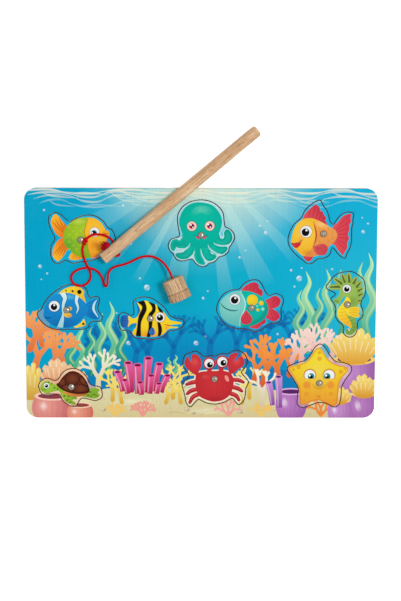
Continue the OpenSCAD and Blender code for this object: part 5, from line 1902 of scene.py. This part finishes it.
class FISHING_OT_magnet_holder(bpy.types.Operator):
    """Turn the magnet holder's body and cap, and set the magnet in it"""

    bl_idname = "fishing_game.magnet_holder"
    bl_label = "Magnet holder"

    def execute(self, context):
        sizes = settings()[0]
        body, cap = sizes.holder_diameter / 2 / MM, sizes.cap_diameter / 2 / MM
        axis = (0, HOLDER_TURN[1], HOLDER_TURN[2])
        for name, profile, finish, slot, node in (
            (
                "holder_body",
                [
                    (1.3, 0.2), (1.5, 0), *arc(body - 1.4, 1.4, 1.4, -90, 0, 8), (body, 5), (body, 9),
                    *arc(body - 1.3, 11.1, 1.3, 0, 90), (4.5, 12.4), (4.5, HOLDER_RECESS), (1.3, HOLDER_RECESS),
                    (1.3, 0.2),
                ],
                ("holder_beech", HOLDER_AT, axis, "dfba92", "ebcca6", "c7a078", "6b4828", 0.75, 0.2),
                "holder_beech", "magnet_holder",
            ),
            (
                "holder_cap_ring",
                [
                    (0, 10.8), (4.43, 10.8), (4.43, 12.4), (cap - 0.35, 12.45), (cap, 12.8), (cap, 16),
                    *arc(cap - 0.8, 18.4, 0.8, 0, 90), (6.05, 19.2), (6.05, 16.2), (0, 16.2),
                ],
                ("cap_beech", HOLDER_AT, axis, "d6ac82", "e2be96", "b68d66", "5a3c20", 0.85, 0.3), "cap_beech",
                "holder_cap",
            ),
            (
                "holder_magnet", [(0, 16.2), (5.8, 16.2), (6.0, 16.4), (6.0, 19.0), (5.8, 19.2), (0, 19.2)], None,
                "magnet_metal", "magnet",
            ),
        ):
            bm = turned(profile, 72)
            bmesh.ops.transform(bm, matrix=placed(HOLDER_AT, HOLDER_TURN), verts=bm.verts)
            material = finish_once(finish[0], beech, *finish[1:]) if finish else finish_once(
                "magnet_metal", metal, "8f8f93", "5b5b60", 0.3, 1.0,
            )
            piece(name, bm, [material], smooth=35, stands_for=(node,))
        return {"FINISHED"}


class FISHING_OT_stage(bpy.types.Operator):
    """Lay the pale floor and hang the lamps"""

    bl_idname = "fishing_game.stage"
    bl_label = "Stage"

    def execute(self, context):
        scene = context.scene
        bm = bmesh.new()
        bmesh.ops.create_grid(bm, x_segments=1, y_segments=1, size=3.0)
        bmesh.ops.translate(bm, vec=(0, 0, -0.0003), verts=bm.verts)
        floor = as_object("floor", bm)
        material, tree, shader = finish_named("floor_white")
        path = add(tree, "ShaderNodeLightPath")
        seen = maths(tree, "MAXIMUM", path.outputs["Is Camera Ray"], path.outputs["Is Glossy Ray"])
        fill(tree, shader, {
            "Base Color": (*settings()[1].floor, 1), "Roughness": 0.9, "Emission Color": (1, 1, 1, 1),
            "Emission Strength": maths(tree, "MULTIPLY", seen, 0.6),
        })
        # seen from below the floor isn't in the way of the board's underside
        surface = add(tree, "ShaderNodeMixShader", {
            0: add(tree, "ShaderNodeNewGeometry").outputs["Backfacing"], 1: shader.outputs["BSDF"],
            2: add(tree, "ShaderNodeBsdfTransparent").outputs["BSDF"],
        })
        fill(tree, tree.nodes["Material Output"], {"Surface": surface.outputs["Shader"]})
        floor.data.materials.append(material)
        world = bpy.data.worlds.new("studio")
        scene.world = world
        world.use_nodes = True
        tree = world.node_tree
        path = add(tree, "ShaderNodeLightPath")
        strength = maths(tree, "MULTIPLY_ADD", path.outputs["Is Camera Ray"], 0.42, 0.58)
        fill(tree, tree.nodes["Background"], {"Color": (1, 1, 1, 1), "Strength": strength})
        lamp = bpy.data.lights.new("key", "SUN")
        lamp.energy = 1.45
        lamp.angle = math.radians(16)
        lamp.color = (1.0, 0.985, 0.96)
        key = bpy.data.objects.new("key", lamp)
        key.rotation_euler = Vector((0.44, 0.14, 0.88)).to_track_quat("Z", "Y").to_euler()
        scene.collection.objects.link(key)
        scene.view_settings.view_transform = "Standard"
        return {"FINISHED"}


STEPS = (
    FISHING_OT_camera, FISHING_OT_knots, FISHING_OT_cord, FISHING_OT_base_board, FISHING_OT_top_board,
    FISHING_OT_creatures, FISHING_OT_screws, FISHING_OT_rod, FISHING_OT_magnet_holder, FISHING_OT_stage,
)


class FISHING_PT_panel(bpy.types.Panel):
    """The toy's sizes, colours and pieces"""

    bl_idname = "FISHING_PT_panel"
    bl_label = "Magnetic fishing game"
    bl_space_type = "VIEW_3D"
    bl_region_type = "UI"
    bl_category = "Fishing game"

    def draw(self, context):
        for group in settings():
            for name in group.__annotations__:
                self.layout.prop(group, name)
        for step in STEPS:
            self.layout.operator(step.bl_idname)


CLASSES = (FishingGameSizes, FishingGameColours, *STEPS, FISHING_PT_panel)


def register():
    for cls in CLASSES:
        bpy.utils.register_class(cls)
    bpy.types.Scene.fishing_game_sizes = PointerProperty(type=FishingGameSizes)
    bpy.types.Scene.fishing_game_colours = PointerProperty(type=FishingGameColours)


def unregister():
    del bpy.types.Scene.fishing_game_colours
    del bpy.types.Scene.fishing_game_sizes
    for cls in reversed(CLASSES):
        bpy.utils.unregister_class(cls)


def main():
    register()
    for step in STEPS:
        group, name = step.bl_idname.split(".")
        if getattr(getattr(bpy.ops, group), name)() != {"FINISHED"}:
            raise RuntimeError(step.bl_label + " wasn't made")


if __name__ == "__main__":
    main()
